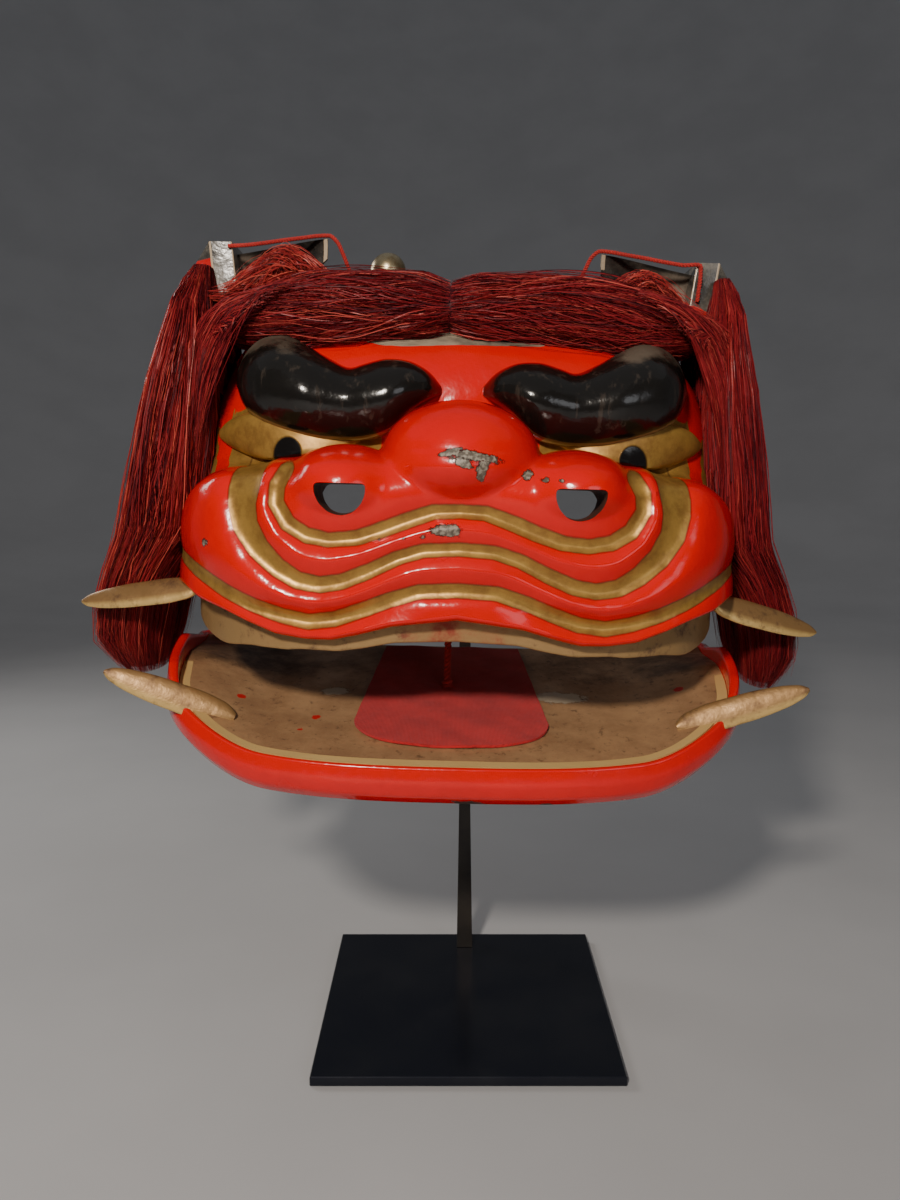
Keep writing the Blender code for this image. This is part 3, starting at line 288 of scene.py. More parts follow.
# Points of the shell: columns are (kind, value), rows are angles over the foot line
def shellSurface(columns, rows, inner=False, grow=0.0):
    value = np.array([column[1] for column in columns])[:, None]
    onSide = np.array([column[0] == "depth" for column in columns])[:, None]
    side = np.array([column[2] for column in columns])[:, None]
    rows = np.asarray(rows, float)[None, :] + 0.0 * value

    def shares(angle):
        square = squareAt(angle)
        other = (1.0 - np.minimum(np.abs(value), 1.0) ** square) ** (1.0 / square)
        return np.where(onSide, side * other, value), np.where(onSide, np.abs(value), other)

    across, depth = shares(rows)
    lift = np.interp(np.abs(across), lipShares, lipAngles) - lipAngles[0]
    fade = np.clip((headForm["ledgeAngle"] - rows) / (headForm["ledgeAngle"] - lipAngles[0]), 0.0, 1.6)
    angle = rows + lift * fade
    across, depth = shares(angle)
    base = np.interp(angle, fineAngles, innerReach if inner else outerReach)
    reach = base * depth * (1.0 - headForm["frontBow"] * across * across)
    turn = np.radians(angle)
    x = across * (widthAt(footLine + reach * np.sin(turn)) + (-wall if inner else grow))
    edge = np.full(np.shape(x), 1.0)
    if not inner:
        reach = softMax(reach, noseReachAt(x, turn), 0.005)
        height = footLine + reach * np.sin(turn)
        edge = bandEdge(x, height)
        front = np.clip((0.985 - np.abs(across)) / 0.02, 0.0, 1.0) * np.clip((31.0 - angle) / 1.0, 0.0, 1.0)
        reach = reach + foldAt(x, height, edge) * np.minimum(1.0, depth * 1.6) * front
        edge = np.where(front > 0.5, edge, 1.0)
    reach = reach + grow * np.where(depth > 0.2, 1.0, depth * 5.0)
    points = np.stack((x, backLine - reach * np.cos(turn), footLine + reach * np.sin(turn)), axis=-1)
    return points, edge


def shellColumns(front, side):
    half = [("across", value, 1.0) for value in front[1:]] + [("depth", value, 1.0) for value in side]
    left = [(kind, -value, -1.0) for kind, value, sign in reversed(half)]
    return left + [("across", 0.0, 1.0)] + half


def crownPoint(across, angle):
    points = shellSurface([("across", across / widthAt(headForm["crownHeight"]), 1.0)], [angle])[0]
    return Vector(points[0, 0])


# The plain front of the shell at a place across and a height
def frontOf(across, heights):
    angles = np.linspace(26.6, 60.0, 140)
    square = squareAt(angles)
    share = min(abs(across) / halfWidth, 0.995)
    depth = (1.0 - share ** square) ** (1.0 / square)
    reach = np.interp(angles, fineAngles, outerReach) * depth * (1.0 - headForm["frontBow"] * share * share)
    rise = footLine + reach * np.sin(np.radians(angles))
    return backLine - np.interp(heights, rise, reach * np.cos(np.radians(angles)))


# Materials: nodes are added by name and joined as they are made

def feed(tree, socket, value):
    if isinstance(value, bpy.types.NodeSocket):
        tree.links.new(value, socket)
    elif socket.type == "RGBA":
        socket.default_value = (*value, 1.0)
    else:
        socket.default_value = value


def node(tree, kind, inputs=None, **settings):
    made = tree.nodes.new("ShaderNode" + kind)
    for key, value in settings.items():
        setattr(made, key, value)
    for key, value in (inputs or {}).items():
        feed(tree, made.inputs[key], value)
    return made


def newFinish(name, roughness=0.4, metallic=0.0, coat=0.0, sheen=0.0):
    material = bpy.data.materials.new(name)
    material.use_nodes = True
    tree = material.node_tree
    shader = tree.nodes["Principled BSDF"]
    shader.inputs["Roughness"].default_value = roughness
    shader.inputs["Metallic"].default_value = metallic
    shader.inputs["Coat Weight"].default_value = coat
    shader.inputs["Coat Roughness"].default_value = 0.12
    shader.inputs["Sheen Weight"].default_value = sheen
    return material, tree, shader


def noise(tree, scale, detail=5.0, rough=0.55, stretch=(1.0, 1.0, 1.0)):
    place = node(tree, "TexCoord").outputs["Object"]
    mapping = node(tree, "Mapping", {"Vector": place, "Scale": stretch})
    return node(tree, "TexNoise", {"Vector": mapping.outputs["Vector"], "Scale": scale, "Detail": detail,
                                   "Roughness": rough}).outputs["Fac"]


def sums(tree, operation, first, second=0.0, third=0.0):
    made = node(tree, "Math", operation=operation)
    for socket, value in zip(made.inputs, (first, second, third)):
        feed(tree, socket, value)
    return made.outputs["Value"]


def between(tree, value, low, high, start=0.0, end=1.0):
    return node(tree, "MapRange", {"Value": value, "From Min": low, "From Max": high, "To Min": start,
                                   "To Max": end}, interpolation_type="SMOOTHSTEP").outputs["Result"]


def blendColour(tree, share, first, second):
    made = node(tree, "Mix", data_type="RGBA")
    for index, value in ((0, share), (6, first), (7, second)):
        feed(tree, made.inputs[index], value)
    return made.outputs[2]


def painted(tree, name):
    return node(tree, "Attribute", attribute_name=name).outputs["Fac"]


# Colour, roughness and layers of relief (height, depth) joined to the shader
def dress(tree, shader, colour, rough, layers):
    feed(tree, shader.inputs["Base Color"], colour)
    feed(tree, shader.inputs["Roughness"], rough)
    normal = None
    for height, depth in layers:
        inputs = {"Height": height, "Distance": depth, "Strength": 1.0}
        if normal is not None:
            inputs["Normal"] = normal
        normal = node(tree, "Bump", inputs).outputs["Normal"]
    feed(tree, shader.inputs["Normal"], normal)


lacquer = {
    "red": (0.70, 0.0, 0.0), "deepRed": (0.45, 0.0, 0.0), "gold": (0.46, 0.265, 0.06),
    "dullGold": (0.29, 0.15, 0.035), "ground": (0.34, 0.27, 0.19), "edge": (0.05, 0.012, 0.008),
    "black": (0.010, 0.009, 0.008), "wornBlack": (0.085, 0.068, 0.052), "bareWood": (0.30, 0.19, 0.10),
}


# Red lacquer with gold bands edged by a painted shade line, gold sockets, a worn top and chips down to the ground coat
def carvedFinish():
    material, tree, shader = newFinish("carved_lacquer", 0.24)
    patch = noise(tree, 38.0, 4.0)
    fine = noise(tree, 420.0, 3.0)
    red = blendColour(tree, between(tree, patch, 0.3, 0.75), lacquer["red"], lacquer["deepRed"])
    red = blendColour(tree, 0.75, red, lacquer["red"])
    gold = blendColour(tree, between(tree, noise(tree, 90.0, 6.0, 0.7), 0.35, 0.7), lacquer["gold"],
                       lacquer["dullGold"])
    wobble = sums(tree, "MULTIPLY_ADD", noise(tree, 160.0, 3.0), 1.4, -0.7)
    bandShare = between(tree, sums(tree, "ADD", painted(tree, "band"), wobble), 0.45, -0.25)
    socketShare = between(tree, sums(tree, "MULTIPLY_ADD", wobble, 0.12, painted(tree, "socket")), 0.42, 0.58)
    goldShare = sums(tree, "MAXIMUM", bandShare, socketShare)
    # Painted shade: a dark line in the step along each gold band's edge
    bandEdgeShade = between(tree, sums(tree, "ABSOLUTE", sums(tree, "ADD", painted(tree, "band"), -0.2)), 0.9, 0.1)
    colour = blendColour(tree, goldShare, red, gold)
    colour = blendColour(tree, sums(tree, "MULTIPLY", bandEdgeShade, 0.55), colour, lacquer["edge"])
    topNoise = noise(tree, 55.0, 6.0, 0.7, (0.35, 1.0, 1.0))
    worn = blendColour(tree, between(tree, topNoise, 0.35, 0.65), lacquer["wornBlack"], lacquer["ground"])
    topShare = between(tree, sums(tree, "MULTIPLY_ADD", wobble, 0.5, painted(tree, "top")), -0.15, 0.15)
    colour = blendColour(tree, topShare, colour, worn)
    crownShare = painted(tree, "crown")
    dark = blendColour(tree, between(tree, patch, 0.4, 0.62), lacquer["black"], lacquer["wornBlack"])
    colour = blendColour(tree, crownShare, colour, dark)
    scratch = sums(tree, "MULTIPLY_ADD", noise(tree, 170.0, 8.0, 0.8), 1.5, -0.80)
    chipped = sums(tree, "ADD", painted(tree, "chip"), scratch)
    chipShare = between(tree, chipped, 0.47, 0.53)
    chipRim = sums(tree, "MULTIPLY", between(tree, chipped, 0.38, 0.45), between(tree, chipped, 0.56, 0.50))
    ground = blendColour(tree, between(tree, fine, 0.40, 0.60), (0.09, 0.07, 0.05), (0.29, 0.25, 0.195))
    colour = blendColour(tree, chipRim, colour, lacquer["edge"])
    colour = blendColour(tree, chipShare, colour, ground)
    grain = noise(tree, 26.0, 8.0, 0.6, (1.0, 1.0, 9.0))
    wood = blendColour(tree, between(tree, grain, 0.35, 0.7), lacquer["bareWood"], (0.13, 0.075, 0.04))
    inside = painted(tree, "inside")
    colour = blendColour(tree, between(tree, inside, 0.45, 0.55), colour, wood)
    rough = sums(tree, "MULTIPLY_ADD", goldShare, 0.20, between(tree, patch, 0.3, 0.7, 0.15, 0.24))
    rough = sums(tree, "MAXIMUM", rough, sums(tree, "MULTIPLY", sums(tree, "MAXIMUM", topShare, inside), 0.62))
    rough = sums(tree, "MAXIMUM", rough, sums(tree, "MULTIPLY", chipShare, 0.5))
    metal = sums(tree, "MULTIPLY", goldShare, 0.55)
    metal = sums(tree, "MULTIPLY", metal, sums(tree, "SUBTRACT", 1.0, sums(tree, "MAXIMUM", topShare, inside)))
    feed(tree, shader.inputs["Metallic"], metal)
    hollow = sums(tree, "MULTIPLY", chipShare, -1.0)
    dress(tree, shader, colour, rough, [(patch, 0.0009), (noise(tree, 150.0, 5.0), 0.00016), (hollow, 0.0006),
                                        (sums(tree, "MULTIPLY", grain, inside), 0.0012)])
    return material


# Black lacquer, grey-brown along the top of each brow, most over its outer half
def blackFinish():
    material, tree, shader = newFinish("black_lacquer", 0.17, coat=0.1)
    cloud = noise(tree, 30.0, 7.0, 0.65)
    share = between(tree, sums(tree, "MULTIPLY_ADD", cloud, 1.0, painted(tree, "worn")), 0.95, 1.22)
    colour = blendColour(tree, share, (0.008, 0.007, 0.006), (0.11, 0.085, 0.062))
    streak = noise(tree, 60.0, 6.0, 0.6, (3.0, 3.0, 0.5))
    colour = blendColour(tree, sums(tree, "MULTIPLY", between(tree, streak, 0.55, 0.7), 0.18), colour,
                         (0.16, 0.12, 0.09))
    goldShare = between(tree, painted(tree, "trim"), 0.4, 0.6)
    colour = blendColour(tree, goldShare, colour, (0.24, 0.14, 0.06))
    rough = sums(tree, "MULTIPLY_ADD", share, 0.34, between(tree, cloud, 0.3, 0.7, 0.13, 0.22))
    dress(tree, shader, colour, rough, [(noise(tree, 45.0, 4.0), 0.0010), (noise(tree, 300.0, 4.0), 0.00010)])
    return material


# Gilding over wood: towards the bright colour by the bright share (on the tusks a painted highlight along one edge),
# brown where it is rubbed
def gildedFinish(name, bright, dull, rubbed, metallic):
    material, tree, shader = newFinish(name, 0.42, metallic)
    cloud = noise(tree, 70.0, 7.0, 0.7)
    colour = blendColour(tree, painted(tree, "bright"), dull, bright)
    colour = blendColour(tree, between(tree, cloud, 0.50, 0.72), colour, rubbed)
    redShare = between(tree, sums(tree, "MULTIPLY_ADD", cloud, 0.5, painted(tree, "redden")), 0.75, 1.05)
    colour = blendColour(tree, redShare, colour, (0.33, 0.02, 0.01))
    dress(tree, shader, colour, between(tree, cloud, 0.3, 0.7, 0.34, 0.55),
          [(noise(tree, 60.0, 5.0), 0.0007), (noise(tree, 350.0, 4.0), 0.00015)])
    return material


# The jaw's plate: rubbed gold with flaked cream patches, red specks, a nail hole and a painted shadow of the upper lip
# towards the back
def jawPlateFinish():
    material, tree, shader = newFinish("jaw_plate_gold", 0.5, 0.22)
    cloud = noise(tree, 24.0, 8.0, 0.68)
    speck = noise(tree, 190.0, 5.0, 0.7)
    colour = blendColour(tree, between(tree, cloud, 0.32, 0.68), (0.47, 0.27, 0.13), (0.29, 0.155, 0.075))
    colour = blendColour(tree, sums(tree, "MULTIPLY", between(tree, speck, 0.56, 0.68), 0.6), colour,
                         (0.09, 0.045, 0.025))
    colour = blendColour(tree, between(tree, sums(tree, "MULTIPLY_ADD", speck, 0.3, painted(tree, "front")), 0.6, 0.7),
                         colour, (0.66, 0.44, 0.17))
    # Painted shadow of the upper lip: darker towards the back of the plate and at its rear corners
    lipShadow = between(tree, sums(tree, "MULTIPLY_ADD", cloud, 0.9, painted(tree, "lipShadow")), 0.75, 1.15)
    colour = blendColour(tree, sums(tree, "MULTIPLY", lipShadow, 0.85), colour, (0.045, 0.022, 0.014))
    ragged = sums(tree, "MULTIPLY_ADD", noise(tree, 260.0, 6.0, 0.8), 1.0, -0.5)
    flake = between(tree, sums(tree, "ADD", painted(tree, "flake"), ragged), 0.47, 0.55)
    colour = blendColour(tree, flake, colour, (0.55, 0.44, 0.31))
    redSpot = between(tree, sums(tree, "MULTIPLY_ADD", ragged, 0.6, painted(tree, "spot")), 0.5, 0.6)
    colour = blendColour(tree, redSpot, colour, (0.55, 0.01, 0.008))
    colour = blendColour(tree, between(tree, painted(tree, "nail"), 0.4, 0.6), colour, (0.012, 0.008, 0.006))
    dress(tree, shader, colour, between(tree, cloud, 0.3, 0.7, 0.36, 0.6),
          [(cloud, 0.0008), (speck, 0.0002), (sums(tree, "MULTIPLY", flake, -1.0), 0.0004)])
    return material


def hairFinish(name, dark, middle, light):
    material, tree, shader = newFinish(name, 0.5)
    shader.inputs["Specular IOR Level"].default_value = 0.16
    shade = sums(tree, "MULTIPLY_ADD", noise(tree, 14.0, 3.0), 0.55, painted(tree, "shade"))
    colour = blendColour(tree, between(tree, shade, 0.35, 0.85), dark, middle)
    colour = blendColour(tree, between(tree, shade, 0.92, 1.25), colour, light)
    dress(tree, shader, colour, between(tree, shade, 0.3, 1.2, 0.5, 0.34),
          [(noise(tree, 500.0, 3.0), 0.0002)])
    return material


def clothFinish(name, colour, thread, weave):
    material, tree, shader = newFinish(name, 0.85, sheen=0.08)
    place = node(tree, "TexCoord").outputs["Object"]
    warp = node(tree, "TexWave", {"Vector": place, "Scale": weave, "Distortion": 0.6}, bands_direction="X")
    weft = node(tree, "TexWave", {"Vector": place, "Scale": weave, "Distortion": 0.6}, bands_direction="Y")
    cross = sums(tree, "MULTIPLY", warp.outputs["Fac"], weft.outputs["Fac"])
    cloud = noise(tree, 45.0, 6.0, 0.65)
    shown = blendColour(tree, between(tree, cloud, 0.3, 0.7), colour, thread)
    shown = blendColour(tree, sums(tree, "MULTIPLY", cross, 0.35), shown, thread)
    dress(tree, shader, shown, between(tree, cloud, 0.3, 0.7, 0.78, 0.92),
          [(cross, 0.0003), (cloud, 0.0015)])
    return material


def steelFinish(name, base, worn, roughness):
    material, tree, shader = newFinish(name, roughness, 0.55, coat=0.1)
    cloud = noise(tree, 18.0, 6.0, 0.6)
    colour = blendColour(tree, between(tree, cloud, 0.35, 0.75), base, worn)
    smear = noise(tree, 22.0, 4.0, 0.5)
    dress(tree, shader, colour, between(tree, smear, 0.2, 0.8, roughness * 0.92, roughness * 1.1),
          [(noise(tree, 900.0, 3.0), 0.00004)])
    return material


def brassFinish():
    material, tree, shader = newFinish("worn_brass", 0.3, 0.9)
    cloud = noise(tree, 120.0, 6.0, 0.65)
    colour = blendColour(tree, between(tree, cloud, 0.35, 0.7), (0.52, 0.44, 0.28), (0.24, 0.17, 0.09))
    dress(tree, shader, colour, between(tree, cloud, 0.3, 0.7, 0.22, 0.45), [(cloud, 0.0003)])
    return material


def woodFinish(name, light, dark):
    material, tree, shader = newFinish(name, 0.6)
    grain = noise(tree, 30.0, 8.0, 0.6, (0.25, 3.0, 3.0))
    colour = blendColour(tree, between(tree, grain, 0.35, 0.7), light, dark)
    dress(tree, shader, colour, between(tree, grain, 0.3, 0.7, 0.5, 0.7), [(grain, 0.0004)])
    return material


# Cords: three strands twisted round the route

cordLook = {"strands": 3, "turnsPerMetre": 120.0, "pointsPerMetre": 1400.0, "sides": 7}


def smoothRoute(points, count):
    points = np.array([tuple(point) for point in points])
    away = np.concatenate(([0.0], np.cumsum(np.linalg.norm(np.diff(points, axis=0), axis=1))))
    table = np.column_stack((away / away[-1], points))
    return smoothTable(table, np.linspace(0.0, 1.0, count))


def twistedCord(name, points, radius, material, turns=None):
    rough = smoothRoute(points, 200)
    length = float(np.linalg.norm(np.diff(rough, axis=0), axis=1).sum())
    count = max(30, int(length * cordLook["pointsPerMetre"]))
    route = smoothRoute(points, count)
    along = np.gradient(route, axis=0)
    along /= np.linalg.norm(along, axis=1)[:, None]
    side = np.cross(along, np.array((0.31, 0.17, 0.93)))
    side /= np.linalg.norm(side, axis=1)[:, None]
    over = np.cross(along, side)
    meshes = []
    for strand in range(cordLook["strands"]):
        turn = 2.0 * math.pi * (strand / cordLook["strands"] + np.linspace(0.0, 1.0, count) * length * (
            turns or cordLook["turnsPerMetre"]))
        core = route + (side * np.cos(turn)[:, None] + over * np.sin(turn)[:, None]) * radius * 0.46
        rings = []
        for step in range(cordLook["sides"]):
            spot = 2.0 * math.pi * step / cordLook["sides"]
            rings.append(core + (side * math.cos(spot) + over * math.sin(spot)) * radius * 0.54)
        meshes.append(np.stack(rings, axis=1))
    pieces = [skin(f"{name}_{i}", rows, Matrix.Identity(4), material) for i, rows in enumerate(meshes)]
    return joinPieces(name, pieces, material), length


redCord = clothFinish("red_cord", (0.66, 0.03, 0.02), (0.50, 0.015, 0.012), 900.0)

jaw = {
    "halfWidth": 0.175, "reach": 0.270, "frontShare": 0.92, "cornerStart": 0.150, "square": 2.9,
    "tall": 0.024, "bulge": 0.003, "wall": 0.013, "lip": 0.0025, "sideLip": 0.006, "rimRise": 0.011,
    "plateThick": 0.0045, "plateBack": 0.104, "dish": 0.015, "dishStart": 0.105, "armWidth": 0.011,
    "armTall": 0.020, "armDrop": 0.008, "armEnd": 0.012, "armClear": 0.0015, "gap": 0.0003,
}


def jawTop(x, y):
    rise = np.clip((np.abs(x) - jaw["dishStart"]) / (jaw["halfWidth"] - jaw["dishStart"]), 0.0, 1.0)
    forward = np.clip((-y - jaw["plateBack"] + 0.010) / 0.060, 0.35, 1.0)
    return jaw["dish"] * rise * rise * (3.0 - 2.0 * rise) * forward


knot = {"threads": 26, "coilTurns": 2.2, "coilWidth": 0.0024, "coilTall": 0.0052, "coilRadius": 0.0012,
        "threadRadius": 0.00022, "sink": 0.0018}


# Frayed knot at the cord's foot: a coil and a tuft of loose threads in one mesh
def makeKnot(place):
    turn = np.linspace(0.0, 2.0 * math.pi * knot["coilTurns"], 70)
    coil = np.column_stack((knot["coilWidth"] * np.cos(turn), knot["coilWidth"] * np.sin(turn),
                            np.linspace(0.0002, knot["coilTall"], 70)))
    routes = [coil]
    for i in range(knot["threads"]):
        spread, bend = dice.uniform(0.0, 2.0 * math.pi), dice.uniform(0.003, 0.0075)
        t = np.linspace(0.0, 1.0, 10)
        routes.append(np.column_stack((bend * t * math.cos(spread), bend * t * math.sin(spread),
                                       0.0012 + 0.0012 * np.sin(math.pi * t) - 0.0010 * t)))
    parts = []
    for i, route in enumerate(routes):
        radius = knot["coilRadius"] if i == 0 else knot["threadRadius"]
        along = np.gradient(route, axis=0)
        side = np.cross(along, np.array((0.21, 0.37, 0.9)))
        side /= np.linalg.norm(side, axis=1)[:, None]
        over = np.cross(along, side)
        over /= np.linalg.norm(over, axis=1)[:, None]
        spots = np.linspace(0.0, 2.0 * math.pi, 6, endpoint=False)
        rows = np.stack([route + (side * math.cos(a) + over * math.sin(a)) * radius for a in spots], axis=1)
        parts.append(skin("knot_part", rows, Matrix.Translation(place - Vector((0.0, 0.0, knot["sink"]))), redCord))
    piece = joinPieces("mouth_cord_knot", parts, redCord)
    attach(piece, "jaw")
    return piece


mouthCord = {"across": -0.004, "top": (-0.0615, 0.298 - 0.006 - 0.0003), "foot": 0.172, "clothThick": 0.0016,
             "clear": 0.0009, "radius": 0.0024}


def placeMouthCord():
    across, foot, radius = mouthCord["across"], mouthCord["foot"], mouthCord["radius"]
    top = headPlace @ Vector((across, *mouthCord["top"]))
    over = (float(jawTop(across, -foot)) + mouthCord["clothThick"] + mouthCord["clear"]
            + radius * math.tan(math.radians(restAngle)))
    end = jawPlace @ Vector((across, -foot, over))
    points = [top.lerp(end, step / 5.0) for step in range(6)]
    piece, length = twistedCord("mouth_cord_twist", points, radius, redCord)
    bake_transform(piece)
    knotPiece = makeKnot(end)
    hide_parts("mouth_cord")
    return piece, points, length, knotPiece


earCord = {"tip": (0.086, -0.046, 0.526), "rightDrop": 0.005, "span": 0.060, "footAngle": 52.7,
           "footClear": 0.0006, "radius": 0.0014, "turnsPerMetre": 190.0}


# Places of the route from the ear's tip, as shares of its span, then down to the crown
def earCordRoute(side):
    tip = Vector(earCord["tip"]) - Vector((0.0, 0.0, earCord["rightDrop"] if side > 0 else 0.0))
    offsets = [(1.000, -0.032, -0.133), (0.808, -0.023, -0.117), (0.617, -0.008, -0.087), (0.433, 0.020, -0.050),
               (0.250, 0.067, -0.013), (0.100, 0.110, 0.020), (-0.017, 0.133, 0.032), (-0.100, 0.137, -0.025),
               (-0.158, 0.137, -0.133), (-0.208, 0.138, -0.250), (-0.250, 0.140, -0.367)]
    if side > 0:
        offsets = [(0.980, -0.032, -0.483), (0.990, -0.032, -0.367), (1.000, -0.032, -0.250)] + offsets
    points = [tip + Vector(offset) * earCord["span"] for offset in offsets]
    points = [Vector((side * point.x, point.y, point.z)) for point in points]
    foot = crownPoint(points[-1].x, earCord["footAngle"]) + Vector((0.0, 0.0, earCord["footClear"]))
    return [headPlace @ point for point in points + [points[-1].lerp(foot, 0.5), foot]]


mouthPiece, mouthRoute, mouthLength, mouthKnot = placeMouthCord()
for side, word in ((-1, "left"), (1, "right")):
    points = earCordRoute(side)
    piece, length = twistedCord(f"ear_cord_twist_{word}", points, earCord["radius"], redCord,
                                earCord["turnsPerMetre"])
    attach(piece, "head")
    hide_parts(f"ear_cord_{word}")
print("cords made")


# Head shell

carving = {"middle": 75, "sides": 26, "muzzleRows": 92, "socketRows": 34, "crownRows": 44}
nostril = {"across": 0.061, "width": 0.023, "height": 0.3680, "tall": 0.015, "flares": [(0.215, 1.25), (0.110, 0.85)]}


def scallopTop(x):
    return np.interp(x, [-0.110, -0.076, -0.048, -0.032, -0.004, 0.045, 0.073, 0.110],
                     [0.470, 0.462, 0.455, 0.4545, 0.456, 0.4565, 0.466, 0.472])


# Chips in the lacquer: place across, height, half width, half height, turn in degrees
chips = [
    (0.006, 0.3915, 0.0120, 0.0024, -8.0), (0.0105, 0.3850, 0.0026, 0.0060, -10.0),
    (0.0, 0.3880, 0.0070, 0.0022, -20.0), (-0.006, 0.3930, 0.0060, 0.0016, 16.0),
    (0.034, 0.3828, 0.0032, 0.0026, 0.0), (0.043, 0.3805, 0.0018, 0.0015, 0.0),
    (0.0505, 0.3805, 0.0014, 0.0012, 0.0), (-0.006, 0.3536, 0.0085, 0.0030, 0.0),
    (-0.019, 0.3500, 0.0012, 0.0010, 0.0), (-0.028, 0.3490, 0.0012, 0.0010, 0.0),
    (-0.041, 0.3480, 0.0012, 0.0010, 0.0), (-0.1365, 0.3425, 0.0020, 0.0022, 0.0),
]


def chipTag(x, z):
    best = np.full(np.shape(x), -2.0)
    for across, height, wide, tall, turn in chips:
        angle = math.radians(turn)
        u = (x - across) * math.cos(angle) + (z - height) * math.sin(angle)
        v = -(x - across) * math.sin(angle) + (z - height) * math.cos(angle)
        best = np.maximum(best, 1.0 - 0.5 * np.hypot(u / wide, v / tall))
    return best


def makeCarving():
    front = np.linspace(0.0, 0.86, carving["middle"])
    side = 0.84 * (1.0 - np.linspace(0.0, 1.0, carving["sides"])) ** 0.9
    columns = shellColumns(front, side)
    rows = np.concatenate((np.linspace(7.3, 22.0, carving["muzzleRows"]),
                           np.linspace(22.3, 31.0, carving["socketRows"]),
                           np.linspace(31.8, 90.0, carving["crownRows"])))
    outer, edge = shellSurface(columns, rows)
    innerRows = np.concatenate((np.linspace(7.3, 21.2, 10), np.linspace(23.0, 87.0, 22)))
    inner = shellSurface(columns, innerRows, inner=True)[0]
    outerFirst, innerFirst = outer[:, 0], inner[:, 0]
    lip = []
    for step in range(1, 6):
        turn = math.pi * step / 6.0
        middle = (outerFirst + innerFirst) / 2.0 + (innerFirst - outerFirst) / 2.0 * -math.cos(turn)
        lip.append(middle + np.array((0.0, 0.0, -0.0022)) * math.sin(turn))
    lip = np.stack(lip[::-1], axis=1)
    back = outer[:, -1:] * 0.5 + inner[:, -1:] * 0.5
    ring = np.concatenate((lip, outer, back, inner[:, ::-1]), axis=1)
    x, y, z = ring[..., 0], ring[..., 1], ring[..., 2]
    count = lip.shape[1]
    onOuter = np.zeros(ring.shape[1])
    onOuter[:count + outer.shape[1]] = 1.0
    onOuter = onOuter[None, :] + 0.0 * x
    band = np.full(x.shape, 40.0)
    band[:, count:count + outer.shape[1]] = edge * 1000.0
    rowAngle = np.degrees(np.arctan2(z - footLine, backLine - y))
    beside = np.abs(x)
    socket = fadeIn(rowAngle, 25.6, 26.2) * fadeIn(z, 0.420, 0.413) * fadeIn(beside, 0.040, 0.050) * (y < -0.030)
    socket = socket * (1.0 - fadeIn(beside, 0.1355, 0.1370) * fadeIn(beside, 0.1470, 0.1455))  # red temple stripe
    top = (z - scallopTop(x)) * 1000.0 * (y < -0.03) - 40.0 * (y >= -0.03)
    top = np.where(beside < 0.145, top, -40.0)
    crown = fadeIn(z, 0.468, 0.472) + 0.0 * x
    crown = np.maximum(crown * (rowAngle > 33.0), fadeIn(y, -0.012, 0.008) * (z > 0.415))
    tags = {"band": band, "socket": socket * onOuter, "top": top * onOuter - 40.0 * (1.0 - onOuter),
            "crown": crown * onOuter, "inside": 1.0 - onOuter,
            "chip": chipTag(x, z) * (y < -0.10) - 2.0 * (y >= -0.10)}
    shell = skin("head_carving", ring, headPlace, carvedFinish(), tags, sharp=60.0)
    # Dark wood inside the nostril holes, darker than the shell's bare wood: painted shade in the holes over the wood
    nostrilShadeWood = woodFinish("nostril_wood_painted_shade", (0.10, 0.03, 0.015), (0.045, 0.015, 0.008))
    outline = roundCorners([(-0.5, 0.0), (0.5, 0.0), (0.5, -0.30), (0.42, -0.62), (0.24, -0.90), (0.0, -1.0),
                            (-0.24, -0.90), (-0.42, -0.62), (-0.5, -0.30)], 0.12)
    for sign, word in ((-1, "left"), (1, "right")):
        rings = [[(sign * (nostril["across"] + u * nostril["width"] * flare), -depth,
                   nostril["height"] + (v + 0.5) * nostril["tall"] * flare) for u, v in outline]
                 for depth, flare in nostril["flares"]]
        tool = skin(f"nostril_{word}", np.array(rings), headPlace, nostrilShadeWood)
        carve(shell, tool)
        bpy.data.objects.remove(tool, do_unlink=True)
    shell.data.set_sharp_from_angle(angle=math.radians(60.0))
    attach(shell, "head")
    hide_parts("head_shell")


# The head's outside as one block, to trim pieces that sit on it
def headBlock():
    columns = shellColumns(np.linspace(0.0, 0.86, 30), 0.84 * (1.0 - np.linspace(0.0, 1.0, 12)) ** 0.9)
    rows = np.concatenate((np.linspace(7.3, 31.0, 40), np.linspace(33, 90, 24)))
    points = shellSurface(columns, rows, grow=0.0002)[0]
    foot = np.stack((points[:, 0, 0], np.full(len(points), backLine), np.full(len(points), footLine)), axis=-1)
    return skin("head_block", np.concatenate((points, foot[:, None]), axis=1), headPlace)


makeCarving()
trimmer = headBlock()
print("head carved")


# Brows and eyes

brow = {"inner": 0.012, "span": 0.120, "foot": 0.399, "tall": 0.063, "bulge": 0.030, "seat": 0.004}
eye = {"inner": 0.056, "span": 0.088, "foot": 0.386, "tall": 0.031, "bulge": 0.013, "seat": 0.004}
# Across as a share of the span, foot and top as shares of the height, bulge as a share
browTable = [(0.00, 0.44, 0.52, 0.10), (0.04, 0.39, 0.61, 0.45), (0.12, 0.29, 0.71, 0.74), (0.25, 0.07, 0.75, 0.92),
             (0.36, 0.01, 0.70, 0.88), (0.43, 0.00, 0.66, 0.84), (0.53, 0.00, 0.74, 0.90), (0.65, 0.03, 0.87, 1.00),
             (0.78, 0.10, 1.00, 1.00), (0.87, 0.18, 0.97, 0.90), (0.95, 0.31, 0.83, 0.62), (1.00, 0.50, 0.66, 0.12)]
eyeTable = [(0.00, 0.44, 0.56, 0.10), (0.10, 0.30, 0.74, 0.50), (0.28, 0.12, 0.92, 0.86), (0.46, 0.04, 1.00, 1.00),
            (0.64, 0.06, 0.98, 0.92), (0.82, 0.18, 0.88, 0.62), (0.94, 0.34, 0.74, 0.32), (1.00, 0.46, 0.60, 0.08)]


